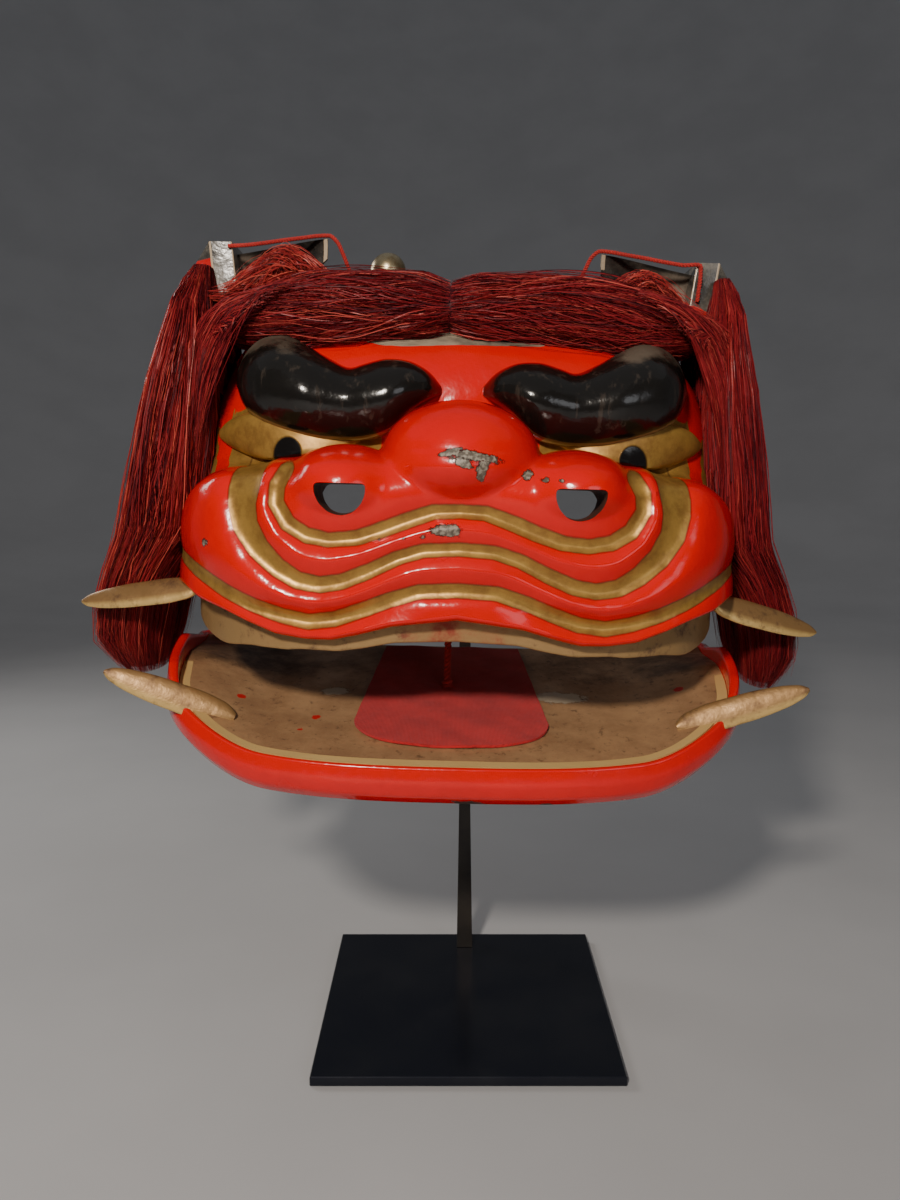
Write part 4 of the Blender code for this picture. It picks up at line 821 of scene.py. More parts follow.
def bulgeRows(form, table, side, count, sides):
    shares = 0.5 - 0.5 * np.cos(np.linspace(0.0, math.pi, count))
    rows, turns = [], np.linspace(0.0, 2.0 * math.pi, sides, endpoint=False)
    for share, (low, high, swell) in zip(shares, smoothTable(table, shares)):
        x = side * (form["inner"] + form["span"] * share)
        middle = form["foot"] + form["tall"] * (low + high) / 2.0
        height = middle + form["tall"] * (high - low) / 2.0 * np.cos(turns)
        out = np.sin(turns)
        surface = frontOf(x, height)
        y = np.where(out > 0.0, surface - form["bulge"] * swell * np.abs(out) ** 0.8,
                     surface + form["seat"] * np.abs(out) ** 0.5)
        rows.append(np.column_stack((np.full(sides, x), y, height)))
    return np.array(rows), shares, turns


def makeBrows():
    finish = blackFinish()
    for side, word in ((-1, "left"), (1, "right")):
        rows, shares, turns = bulgeRows(brow, browTable, side, 72, 56)
        # Grey-brown along the top of each brow, most over its outer half
        worn = fadeIn(shares, 0.45, 0.75)[:, None] * fadeIn(np.cos(turns), -0.1, 0.7)[None, :] * 0.55
        worn = worn + 0.18 * fadeIn(np.cos(turns), 0.3, 0.95)[None, :]
        lower = fadeIn(-np.cos(turns), 0.86, 0.93)[None, :] * fadeIn(shares, 0.06, 0.16)[:, None]
        tags = {"worn": worn, "trim": lower * (np.sin(turns) > -0.5)[None, :]}
        piece = skin(f"brow_lacquer_{word}", rows, headPlace, finish, tags)
        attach(piece, "head")
        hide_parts(f"brow_{word}")


# Gilded eye with its black pupil painted on
def eyeFinish():
    material, tree, shader = newFinish("gilded_eye", 0.42, 0.4)
    cloud = noise(tree, 90.0, 6.0, 0.7)
    gold = blendColour(tree, between(tree, cloud, 0.35, 0.7), lacquer["gold"], lacquer["dullGold"])
    share = between(tree, painted(tree, "pupil"), 0.48, 0.56)
    feed(tree, shader.inputs["Metallic"], between(tree, share, 0.0, 1.0, 0.5, 0.0))
    dress(tree, shader, blendColour(tree, share, gold, (0.006, 0.005, 0.005)),
          between(tree, share, 0.0, 1.0, 0.42, 0.12), [(cloud, 0.0003), (share, 0.0005)])
    return material


def makeEyes():
    finish = eyeFinish()
    for side, word in ((-1, "left"), (1, "right")):
        rows, shares, turns = bulgeRows(eye, eyeTable, side, 60, 44)
        x, z = np.abs(rows[..., 0]), rows[..., 2]
        pupil = 1.0 - 0.5 * np.hypot((x - 0.0975) / 0.0088, (z - 0.391) / 0.0105)
        piece = skin(f"eye_gilded_{word}", rows, headPlace, finish, {"pupil": pupil})
        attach(piece, "head")
        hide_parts(f"eye_{word}")


makeBrows()
makeEyes()
print("brows and eyes made")


# Ears

ear = {
    "back": 0.046, "across": 0.144, "width": 0.014, "depth": 0.038, "top": 0.521, "foot": 0.460, "lean": 0.007,
    "tipAcross": 0.086, "tipHeight": 0.526, "tipTall": 0.012, "shellFoot": 0.496, "inset": 0.006, "thick": 0.004,
    "deep": 0.020, "slope": 0.012, "rightDrop": 0.005,
}


def earFinish():
    material, tree, shader = newFinish("ear_lacquer", 0.26, coat=0.3)
    cloud = noise(tree, 60.0, 6.0, 0.65)
    colour = blendColour(tree, between(tree, cloud, 0.38, 0.68), (0.045, 0.042, 0.038), (0.20, 0.18, 0.15))
    colour = blendColour(tree, between(tree, painted(tree, "pale"), 0.45, 0.6), colour, (0.58, 0.45, 0.31))
    colour = blendColour(tree, between(tree, painted(tree, "redden"), 0.45, 0.55), colour, (0.72, 0.006, 0.004))
    colour = blendColour(tree, between(tree, painted(tree, "copper"), 0.4, 0.6), colour, (0.62, 0.28, 0.13))
    dress(tree, shader, colour, between(tree, cloud, 0.3, 0.7, 0.16, 0.34),
          [(noise(tree, 70.0, 4.0), 0.0008), (noise(tree, 350.0, 4.0), 0.00012)])
    return material


# Dark leaf, grey-brown beside the block as painted sheen over rubbed lacquer, with a pale corner at its tip
def leafFinish():
    material, tree, shader = newFinish("leaf_lacquer", 0.24, coat=0.2)
    cloud = noise(tree, 60.0, 6.0, 0.65)
    colour = blendColour(tree, between(tree, cloud, 0.38, 0.68), (0.018, 0.016, 0.015), (0.070, 0.058, 0.048))
    # Painted sheen with rubbed wear: grey-brown on the near face beside the block
    rubbed = sums(tree, "MULTIPLY", painted(tree, "rubbed"), between(tree, cloud, 0.25, 0.6))
    colour = blendColour(tree, rubbed, colour, (0.20, 0.16, 0.125))
    colour = blendColour(tree, between(tree, painted(tree, "pale"), 0.45, 0.6), colour, (0.58, 0.45, 0.31))
    dress(tree, shader, colour, between(tree, cloud, 0.3, 0.7, 0.15, 0.32),
          [(noise(tree, 70.0, 4.0), 0.0008), (noise(tree, 350.0, 4.0), 0.00012)])
    return material


def makeEars():
    darkLeaf = leafFinish()
    finish = earFinish()
    for side, word in ((-1, "left"), (1, "right")):
        drop = ear["rightDrop"] if side > 0 else 0.0
        front = -ear["back"]
        rows = []
        for share in np.linspace(0.0, 1.0, 40):
            lean, fall = ear["lean"] * share, ear["slope"] * share
            height = ear["foot"] + (ear["top"] - drop - ear["foot"]) * share
            near = ear["across"] - ear["width"] / 2.0 + lean
            far = ear["across"] + ear["width"] / 2.0 + lean
            corners = [(side * near, front, height), (side * far, front, height),
                       (side * (far + ear["slope"]), front + ear["depth"] * 0.35, height - fall),
                       (side * (far + ear["slope"] * 0.6), front + ear["depth"], height - fall),
                       (side * near, front + ear["depth"], height)]
            rows.append(roundCorners(corners, 0.0010, 5))
        rows = np.array(rows)
        paleEdge = [0.2, 0.9, 1.0, 1.0, 0.9, 0.2]
        pale = np.tile(paleEdge + paleEdge + [0.0] * 18, (len(rows), 1))
        x, y, z = np.abs(rows[..., 0]), rows[..., 1], rows[..., 2]
        slant = (x > ear["across"] + ear["width"] / 2.0 + ear["lean"] * (z - ear["foot"]) / 0.061 + 0.0006)
        low = 0.5 + (ear["top"] - drop - 0.010 - z) / 0.010
        foot = 0.5 + (0.4905 - z - (x - 0.14) * 0.35) / 0.004
        redden = np.maximum(np.where(slant, low, 0.0), foot)
        copper = 1.0 - np.hypot(x - 0.145, z - (0.4985 - drop)) / 0.0042
        copper = np.where(y < front + 0.002, copper, 0.0)
        tags = {"pale": pale, "redden": redden, "copper": copper}
        block = skin(f"ear_block_{word}", rows, headPlace, finish, tags, sharp=35.0)
        start = ear["across"] + ear["width"] / 4.0
        leaf, shine = [], []
        for share in np.linspace(0.0, 1.0, 56):
            spot = start + (ear["tipAcross"] - start) * share
            low = ear["top"] - ear["inset"]
            high = low + (ear["tipHeight"] - low) * math.sin(share * math.pi * 0.5)
            foot = ear["shellFoot"] + (ear["tipHeight"] - ear["tipTall"] - ear["shellFoot"]) * share ** 3
            bend = ear["deep"] * math.sin(math.pi * (0.15 + 0.8 * share))
            up = np.linspace(0.0, 1.0, 22)
            away = -ear["back"] + ear["inset"] + bend * (0.35 + 0.65 * np.sin(math.pi * (0.15 + 0.7 * up)))
            near = np.column_stack((np.full(22, side * spot), away, foot + (high - foot) * up - drop))
            farSide = near[::-1] + np.array((0.0, ear["thick"], 0.0))
            leaf.append(np.concatenate((near, farSide)))
            # Share of painted sheen with rubbed wear on the near face beside the block, kept in the rubbed tag
            shine.append(np.concatenate((fadeIn(up, 0.96, 0.88), np.zeros(22))) * (1.0 - fadeIn(share, 0.35, 0.60)))
        leaf, shine = np.array(leaf), np.array(shine)
        tip = fadeIn(np.abs(leaf[..., 0]), ear["tipAcross"] + 0.004, ear["tipAcross"] + 0.001)
        tags = {"pale": tip * (leaf[..., 2] > 0.512), "rubbed": shine}
        leafPiece = skin(f"ear_leaf_{word}", leaf, headPlace, darkLeaf, tags)
        carve(leafPiece, trimmer)
        carve(block, trimmer)
        for piece in (leafPiece, block):
            piece.data.set_sharp_from_angle(angle=math.radians(40.0))
        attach(leafPiece, "head")
        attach(block, "head")
        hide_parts(f"ear_{word}")


makeEars()
print("ears made")


# Brass knob on the crown, turned round its own axis

knob = {"across": -0.050, "angle": 60.5, "radius": 0.0117, "neckRadius": 0.0035, "neckLength": 0.0045}


def makeKnob():
    start = math.asin(knob["neckRadius"] / knob["radius"])
    middle = knob["neckLength"] + knob["radius"] * math.cos(start)
    outline = [(0.0, 0.0)] + [(knob["neckRadius"] * wide, knob["neckLength"] * up)
                              for wide, up in ((1.7, 0.0), (1.62, 0.12), (1.5, 0.27), (1.15, 0.34), (1.0, 0.40))]
    outline += [(knob["radius"] * math.sin(turn), middle - knob["radius"] * math.cos(turn))
                for turn in np.linspace(start, math.pi, 26)]
    place = headPlace @ Matrix.Translation(crownPoint(knob["across"], knob["angle"]) + Vector((0.0, 0.0, 0.0003)))
    work = bmesh.new()
    verts = [work.verts.new(place @ Vector((radius, 0.0, up))) for radius, up in outline]
    edges = [work.edges.new(pair) for pair in zip(verts, verts[1:])]
    bmesh.ops.spin(work, geom=verts + edges, cent=place.translation, axis=place.to_3x3() @ Vector((0, 0, 1)),
                   angle=2.0 * math.pi, steps=48, use_merge=True)
    bmesh.ops.remove_doubles(work, verts=work.verts[:], dist=0.00001)
    piece = newPiece("knob_turned", smoothMesh(work, "knob_turned"), brassFinish())
    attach(piece, "head")
    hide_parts("crown_knob")


makeKnob()
print("knob made")


# Gum, grip bar and tusks

gum = {"thick": 0.008, "rootShare": 0.45, "drop": 0.0249, "inset": 0.0009}
# Across as a share of the hollow's half width, drop as a share
gumTable = [(0.00, 0.56), (0.25, 0.43), (0.45, 0.35), (0.65, 0.66), (0.80, 1.00), (0.90, 0.96), (0.96, 0.60),
            (1.00, 0.12)]


def makeGum():
    columns = shellColumns(np.linspace(0.0, 0.85, 40), np.linspace(0.83, 0.46, 16))
    points = shellSurface(columns, [7.3, 10.775], inner=True)[0]
    rings, redden = [], []
    for column, (start, above) in zip(columns, points):
        across = abs(start[0]) / (halfWidth - wall)
        foot = start[2] - gum["drop"] * smoothTable(gumTable, [min(across, 1.0)])[0, 0]
        blend = 1.0 if column[0] == "depth" else float(fadeIn(across, 0.75, 0.86))
        frontward = np.array((-start[0] * 0.55, 0.100 - start[1], 0.0))
        sideward = np.array((-start[0], (0.100 - start[1]) * 0.2, 0.0))
        inward = frontward / np.linalg.norm(frontward) * (1 - blend) + sideward / np.linalg.norm(sideward) * blend
        inward /= np.linalg.norm(inward)
        root = start + inward * gum["inset"]
        top = start + (above - start) * gum["rootShare"] + inward * gum["inset"]
        low = np.array((root[0], root[1], foot))
        ring = [top, root, low, low + inward * gum["thick"], root + inward * gum["thick"], top + inward * gum["thick"]]
        rings.append(roundCorners(ring, 0.0016, 4))
        redden.append(np.full(30, float(fadeIn(across, 0.42, 0.10)) * 0.62))
    tags = {"redden": np.array(redden), "bright": np.full((len(rings), 30), 0.35)}
    piece = skin("gum_gilded", np.array(rings), headPlace,
                 gildedFinish("gum_gold", (0.50, 0.33, 0.13), (0.27, 0.155, 0.065), (0.10, 0.05, 0.03), 0.35), tags)
    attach(piece, "head")
    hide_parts("upper_gum")


tusk = {"width": 0.0165, "thick": 0.0052, "tilt": math.radians(35.0)}
# Along the tusk, width and thickness, all as shares
tuskTable = [(0.00, 0.34, 0.90), (0.06, 0.70, 1.00), (0.18, 0.94, 1.00), (0.50, 1.00, 0.90), (0.72, 0.88, 0.78),
             (0.88, 0.64, 0.62), (0.97, 0.34, 0.46), (1.00, 0.12, 0.34)]


def tuskRows(start, end, count=44, sides=26):
    start, end = Vector(start), Vector(end)
    along = (end - start).normalized()
    flat = along.cross(Vector((0.0, -1.0, 0.0))).normalized()
    if flat.z < 0.0:
        flat.negate()
    broad = Matrix.Rotation(tusk["tilt"] * (1.0 if along.x < 0.0 else -1.0), 3, along) @ flat
    thin = along.cross(broad).normalized()
    shares = 0.5 - 0.5 * np.cos(np.linspace(0.0, math.pi, count))
    turns = np.linspace(0.0, 2.0 * math.pi, sides, endpoint=False)
    rows = []
    for share, (wide, thick) in zip(shares, smoothTable(tuskTable, shares)):
        centre = np.array(start + (end - start) * share)
        rows.append(centre + np.outer(np.cos(turns) * tusk["width"] * wide / 2.0, broad)
                    + np.outer(np.sin(turns) * tusk["thick"] * thick / 2.0, thin))
    # Painted highlight: the same edge of every tusk's section is made bright gold
    bright = np.tile(fadeIn(-np.cos(turns), 0.30, 0.85), (count, 1))
    return np.array(rows), {"bright": bright, "redden": np.zeros(bright.shape)}


def makeTusks():
    # The bright colour here is the painted highlight along each tusk's edge
    finish = gildedFinish("tusk_gold", (0.70, 0.47, 0.17), (0.30, 0.17, 0.065), (0.12, 0.06, 0.03), 0.5)
    upper = {"left": ((-0.8580, 0.7468, 0.1824), (-1.2841, 0.7013, 0.1288)),
             "right": ((0.8580, 0.7468, 0.1738), (1.2443, 0.7013, 0.0966))}
    for word, ends in upper.items():
        start, end = [(x * halfWidth, backLine - y * headForm["muzzleReach"], footLine + z * headForm["crownRise"])
                      for x, y, z in ends]
        rows, tags = tuskRows(start, end)
        piece = skin(f"upper_tusk_gilded_{word}", rows, headPlace, finish, tags)
        carve(piece, trimmer)
        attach(piece, "head")
        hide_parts(f"upper_tusk_{word}")
    lower = {"left": ((-0.7257, 0.8315, 0.1573), (-1.1429, 0.8330, 1.3194)),
             "right": ((0.7429, 0.8306, 0.1978), (1.1600, 0.8330, 1.3194))}
    for word, ends in lower.items():
        start, end = [(x * jaw["halfWidth"], -y * jaw["reach"], z * jaw["tall"]) for x, y, z in ends]
        rows, tags = tuskRows(start, end)
        piece = skin(f"lower_tusk_gilded_{word}", rows, jawPlace, finish, tags)
        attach(piece, "jaw")
        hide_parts(f"lower_tusk_{word}")


makeGum()
makeTusks()
print("gum and tusks made")


# Jaw

def jawEdge(share, inset=0.0):
    width = jaw["halfWidth"] - inset
    past = max(0.0, (abs(share) - jaw["frontShare"]) / (1.0 - jaw["frontShare"]))
    turn = math.pi / 2.0 * min(1.0, abs(share) / jaw["frontShare"])
    x = width * math.sin(turn) ** (2.0 / jaw["square"])
    deep = jaw["reach"] - jaw["cornerStart"] - inset
    y = -jaw["cornerStart"] - deep * max(math.cos(turn), 0.0) ** (2.0 / jaw["square"])
    return math.copysign(x, share), y + (jaw["cornerStart"] - jaw["plateBack"]) * past


def jawInward(share):
    x, y = jawEdge(share)
    inX, inY = jawEdge(share, jaw["wall"])
    inward = np.array((inX - x, inY - y, 0.0))
    return np.array((x, y, 0.0)), inward / np.linalg.norm(inward)


def rimWidth(share):
    return jaw["lip"] + (jaw["sideLip"] - jaw["lip"]) * min(1.0, abs(share) / 0.8) ** 3


def rimRise(share):
    return jaw["rimRise"] * float(np.interp(abs(share), [0.0, 0.62, 0.78, 0.92, 1.0], [0.0, 0.0, 0.90, 1.0, 0.20]))


def edgeShares(count):
    return [math.copysign(abs(share) ** 0.8, share) for share in np.linspace(-1.0, 1.0, count)]


def armRing(side, y, swell):
    outer = halfWidth - wall - jaw["armClear"]
    inner = outer - jaw["armWidth"]
    forward = min(1.0, max(0.0, -y / jaw["plateBack"]))
    high = jaw["armTall"] * 0.5 * swell * (1.0 - forward)
    low = -jaw["armTall"] * 0.5 * swell - jaw["armDrop"] * forward
    tall = high - low
    ring = [(outer, high), (outer, high - tall * 0.36), (outer, high - tall * 0.70), (outer, low), (inner, low),
            (inner, high - tall * 0.20), (inner + jaw["armWidth"] * 0.4, high - tall * 0.10),
            (inner + jaw["armWidth"] * 0.6, high)]
    return [(side * x, y, z) for x, z in ring]


def jawFinish():
    material, tree, shader = newFinish("jaw_lacquer", 0.26, coat=0.35)
    cloud = noise(tree, 40.0, 5.0)
    red = blendColour(tree, between(tree, cloud, 0.3, 0.75), lacquer["red"], lacquer["deepRed"])
    red = blendColour(tree, 0.7, red, lacquer["red"])
    ragged = sums(tree, "MULTIPLY_ADD", noise(tree, 150.0, 7.0, 0.75), 1.0, -0.5)
    chipShare = between(tree, sums(tree, "ADD", painted(tree, "chip"), ragged), 0.47, 0.54)
    colour = blendColour(tree, chipShare, red, (0.05, 0.022, 0.014))
    rough = sums(tree, "MULTIPLY_ADD", chipShare, 0.35, between(tree, cloud, 0.3, 0.7, 0.17, 0.28))
    dress(tree, shader, colour, rough, [(cloud, 0.0009), (noise(tree, 160.0, 5.0), 0.00015),
                                        (sums(tree, "MULTIPLY", chipShare, -1.0), 0.0005)])
    return material


def makeJaw():
    arms = [(jaw["armEnd"], 0.55), (jaw["armEnd"] * 0.7, 0.85), (0.0, 1.0), (-0.040, 1.0), (-0.085, 1.0)]
    fine, places = np.linspace(0.0, 1.0, 26), np.linspace(0.0, 1.0, len(arms))
    armRows = list(zip(*(np.interp(fine, places, column) for column in zip(*arms))))
    rings = [roundCorners(armRing(-1, y, swell), 0.0016) for y, swell in armRows]
    under = -jaw["plateThick"] - 2.0 * jaw["gap"]
    for share in edgeShares(240):
        base, inward = jawInward(share)
        rise, lip = rimRise(share), rimWidth(share)
        section = [(0.0, rise), (-jaw["bulge"], -jaw["tall"] * 0.36), (-jaw["bulge"] * 0.7, -jaw["tall"] * 0.70),
                   (jaw["bulge"], -jaw["tall"]), (jaw["wall"], -jaw["tall"]), (jaw["wall"], under), (lip, under),
                   (lip, rise)]
        ring = []
        for inset, height in section:
            point = base + inward * inset
            ring.append(point + np.array((0.0, 0.0, float(jawTop(point[0], point[1])) + height)))
        rings.append(roundCorners(ring, 0.0024))
    rings += [roundCorners(armRing(1, y, swell), 0.0016) for y, swell in reversed(armRows)]
    rows = np.array(rings)
    x, z = rows[..., 0], rows[..., 2]
    marks = [(0.004, 0.013, 0.004), (-0.004, 0.004, 0.003), (0.016, 0.004, 0.003), (0.052, 0.003, 0.002)]
    chip = np.full(x.shape, -2.0)
    for across, wide, tall in marks:
        chip = np.maximum(chip, 1.0 - 0.5 * np.hypot((x - across) / wide, (z + 0.0225) / tall))
    shell = skin("jaw_lacquered", rows, jawPlace, jawFinish(), {"chip": chip * (rows[..., 1] < -0.2)}, sharp=60.0)
    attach(shell, "jaw")
    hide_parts("jaw_shell")


# Patches on the plate: place across and back, half width, half depth
def patchTag(x, y, patches):
    best = np.full(np.shape(x), -1.0)
    for across, back, wide, deep in patches:
        best = np.maximum(best, 1.0 - 0.5 * np.hypot((x - across) / wide, (y - back) / deep))
    return best


def makeJawPlate():
    rings, edges = [], []
    count = 60
    for share in edgeShares(260):
        base, inward = jawInward(share)
        start = base + inward * (rimWidth(share) + jaw["gap"])
        bend = base + inward * jaw["wall"]
        far = np.array((base[0] * 0.90, -jaw["plateBack"], 0.0))
        line = [start + (bend - start) * t for t in np.linspace(0.0, 1.0, 12)]
        line += [bend + (far - bend) * t for t in np.linspace(0.0, 1.0, count - 12 + 1)[1:]]
        line = np.array(line)
        away = np.concatenate(([0.0], np.cumsum(np.linalg.norm(np.diff(line, axis=0), axis=1))))
        top = jawTop(line[:, 0], line[:, 1])
        high = np.column_stack((line[:, 0], line[:, 1], top))
        low = np.column_stack((line[:, 0], line[:, 1], top - jaw["plateThick"]))
        rings.append(np.concatenate((high, low[::-1])))
        edges.append(np.concatenate((away, away[::-1])))
    rows, away = np.array(rings), np.array(edges)
    x, y = rows[..., 0], rows[..., 1]
    tags = {
        "front": fadeIn(away, 0.0075, 0.0045) * fadeIn(-y, 0.150, 0.190),
        # Painted shadow of the upper lip, darker towards the back and at the rear corners
        "lipShadow": (fadeIn(-y, 0.178, 0.150) * 0.42
                  + patchTag(x, y, [(-0.150, -0.150, 0.03, 0.05), (0.150, -0.150, 0.03, 0.05)]) * 0.2),
        "flake": patchTag(x, y, [(-0.0737, -0.1781, 0.0092, 0.0052), (0.0665, -0.1795, 0.0170, 0.0080)]),
        "spot": patchTag(x, y, [(0.1400, -0.1784, 0.0032, 0.0032), (-0.1284, -0.1965, 0.0030, 0.0030),
                                (-0.0812, -0.2136, 0.0034, 0.0030), (-0.0884, -0.2289, 0.0022, 0.0020)]),
        "nail": patchTag(x, y, [(0.0571, -0.1817, 0.0014, 0.0014)]),
    }
    plate = skin("jaw_plate_worn", rows, jawPlace, jawPlateFinish(), tags)
    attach(plate, "jaw")
    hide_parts("jaw_plate")


makeJaw()
makeJawPlate()
print("jaw made")


# Tongue of red cloth, laid on the jaw's plate

tongue = {"front": 0.248, "back": 0.110, "half": 0.057, "rootHalf": 0.045, "corner": 0.030, "thick": 0.0016,
          "shift": -0.001}


def makeTongue():
    rings = []
    for row in 1.0 - (1.0 - np.linspace(0.0, 1.0, 110)) ** 1.6:
        y = -tongue["back"] + (tongue["back"] - tongue["front"]) * row
        half = tongue["rootHalf"] + (tongue["half"] - tongue["rootHalf"]) * min(1.0, row * 1.25)
        past = max(0.0, -y - (tongue["front"] - tongue["corner"])) / tongue["corner"]
        half *= max(1.0 - past ** 2.2, 0.02) ** 0.40
        x = tongue["shift"] + half * np.linspace(-1.0, 1.0, 60)
        wave = 0.0005 * np.sin(x * 160.0 + y * 90.0) * np.sin(y * 130.0) + 0.0005
        base = jawTop(x, y) + jaw["gap"] + wave
        low = np.column_stack((x, np.full(60, y), base))
        high = np.column_stack((x, np.full(60, y), base + tongue["thick"]))
        rings.append(np.concatenate((low, high[::-1])))
    piece = skin("tongue_cloth", np.array(rings), jawPlace,
                 clothFinish("tongue_cloth", (0.56, 0.014, 0.018), (0.40, 0.008, 0.012), 420.0))
    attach(piece, "jaw")
    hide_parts("tongue")


makeTongue()
print("tongue made")


# Strands: many thin ribbons as one mesh, each with its own shade

def withinHead(points):
    x, y, z = points[..., 0], points[..., 1], points[..., 2]
    reach, angle = np.hypot(backLine - y, z - footLine), np.degrees(np.arctan2(z - footLine, backLine - y))
    share = np.minimum(np.abs(x) / widthAt(z), 1.0)
    square = squareAt(angle)
    surface = np.interp(angle, fineAngles, outerReach) * (1.0 - share ** square) ** (1.0 / square)
    surface = surface * (1.0 - headForm["frontBow"] * share * share)
    sunk = hair["sunk"]
    return (reach < surface - sunk) & (np.abs(x) < widthAt(z) - sunk) & (y < backLine) & (z > footLine)


def ribbons(name, routes, outward, shade, widest, material):
    count, steps = routes.shape[:2]
    width = hair["width"] * dice.uniform(0.5, widest, count)
    hidden = withinHead(routes)
    routes = toWorld(routes, headPlace)
    outward = toWorld(outward, headPlace.to_3x3().to_4x4())
    along = np.gradient(routes, axis=1)
    side = np.cross(along, outward + dice.normal(0.0, 0.35, (count, 1, 3)))
    side /= np.maximum(np.linalg.norm(side, axis=2, keepdims=True), 1e-9)
    taper = np.interp(np.linspace(0.0, 1.0, steps), [0.0, 0.08, 0.75, 1.0], [0.4, 1.0, 0.9, 0.15])
    half = width[:, None, None] * taper[None, :, None] / 2.0
    points = np.stack((routes - side * half, routes + side * half), axis=2).reshape(-1, 3)
    first = (np.arange(count)[:, None] * steps + np.arange(steps - 1)[None, :]).reshape(-1) * 2
    faces = np.stack((first, first + 1, first + 3, first + 2), axis=1)
    faces = faces[~(hidden[:, :-1] | hidden[:, 1:]).reshape(-1)]
    mesh = bpy.data.meshes.new(name)
    mesh.vertices.add(len(points))
    mesh.vertices.foreach_set("co", points.astype(np.float32).reshape(-1))
    mesh.loops.add(faces.size)
    mesh.loops.foreach_set("vertex_index", faces.astype(np.int32).reshape(-1))
    mesh.polygons.add(len(faces))
    mesh.polygons.foreach_set("loop_start", np.arange(0, faces.size, 4, dtype=np.int32))
    mesh.polygons.foreach_set("use_smooth", np.ones(len(faces), dtype=bool))
    mesh.update(calc_edges=True)
    layer = mesh.attributes.new("shade", "FLOAT", "POINT")
    layer.data.foreach_set("value", np.repeat(shade, steps * 2).astype(np.float32))
    mesh.validate()
    piece = newPiece(name, mesh, material)
    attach(piece, "head")
    return piece


hair = {
    "curtainStrands": 8800, "crownStrands": 8200, "tuftStrands": 1500, "fallStrands": 1700, "steps": 12,
    "width": 0.00050, "sunk": 0.0015, "coreShare": 0.93, "coreShade": -0.15,
    "curtainTop": 0.505, "curtainDrop": 0.255, "curtainThick": 0.062, "curtainDepth": 0.130,
    "curtainAcross": 0.150, "curtainFront": 0.098, "rollHalfLength": 0.142, "rollFront": 0.074,
    "rollHeight": 0.477, "rollHalfDepth": 0.031, "rollHalfTall": 0.0215, "rollDroop": 0.012, "parting": -0.008,
}
# Drop, near and far past curtainAcross, front and depth, as shares of the hair's sizes
curtainTable = [
    (0.00, 0.08, 0.26, 0.60, 0.30), (0.06, 0.05, 0.36, 0.80, 0.60), (0.16, -0.06, 0.48, 0.94, 0.82),
    (0.31, -0.06, 0.68, 1.00, 0.94), (0.49, 0.00, 0.84, 1.00, 1.00), (0.65, 0.08, 1.00, 0.92, 0.94),
    (0.75, 0.45, 1.18, 0.78, 0.84), (0.85, 0.58, 1.28, 0.73, 0.80), (0.95, 0.65, 1.22, 0.65, 0.68),
    (1.00, 0.71, 1.03, 0.51, 0.48),
]
fineDrops = np.linspace(0.0, 1.0, 300)
fineCurtain = smoothTable(curtainTable, fineDrops)
alongStrand = np.linspace(0.0, 1.0, hair["steps"])[None, :]


# Places on a side curtain at a drop, a turn round it and a share out from its core
def curtainSpots(side, fullness, drop, turn, out):
    near, far, front, depth = (np.interp(drop, fineDrops, fineCurtain[:, i]) for i in range(4))
    inner = hair["curtainAcross"] + near * hair["curtainThick"]
    outer = inner + (far - near) * hair["curtainThick"] * fullness
    y0 = -front * hair["curtainFront"]
    y1 = y0 + depth * hair["curtainDepth"]
    cosine, sine = np.cos(turn), np.sin(turn)
    across = np.sign(cosine) * np.abs(cosine) ** 0.7 * (1.0 + 0.06 * np.sin(5.0 * turn + 3.0 * drop))
    x = (inner + outer) / 2.0 + (outer - inner) / 2.0 * across * out
    y = (y0 + y1) / 2.0 + (y1 - y0) / 2.0 * np.sign(sine) * np.abs(sine) ** 0.7 * out
    return np.stack((side * x, y, hair["curtainTop"] - drop * hair["curtainDrop"] + 0.0 * x), axis=-1)


def rollSpots(share, turn, out):
    x = share * hair["rollHalfLength"]
    dip = np.exp(-(((x - hair["parting"]) / 0.010) ** 2))
    end = np.sqrt(np.maximum(1.0 - np.abs(share) ** 6, 0.02))
    deep = hair["rollHalfDepth"] * end * (1.0 - 0.10 * dip) * out
    tall = hair["rollHalfTall"] * end * (1.0 - 0.22 * dip) * out
    z = hair["rollHeight"] - hair["rollDroop"] * np.abs(share) ** 3 + tall * np.sin(turn)
    return np.stack((x + 0.0 * z, -hair["rollFront"] + deep * np.cos(turn), z), axis=-1)


# The solid hair under the strands, in the darkest hair colour as painted shade deep in the hair
def makeCore(name, node, rows, finish):
    # Painted shade: the core takes the darkest hair colour
    block = skin(name, rows, headPlace, finish, {"shade": np.full(rows.shape[:2], hair["coreShade"])})
    carve(block, trimmer)
    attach(block, "head")
    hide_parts(node)


# A slow wave along each strand, with its own pace and start
def sway(along, slow, fast):
    count = len(along)
    return np.sin(along * dice.uniform(slow, fast, (count, 1)) + dice.uniform(0.0, 6.3, (count, 1)))


def nearestLock(base, locks):
    return locks[np.argmin(np.abs(base - locks[None, :]), axis=1)][:, None]


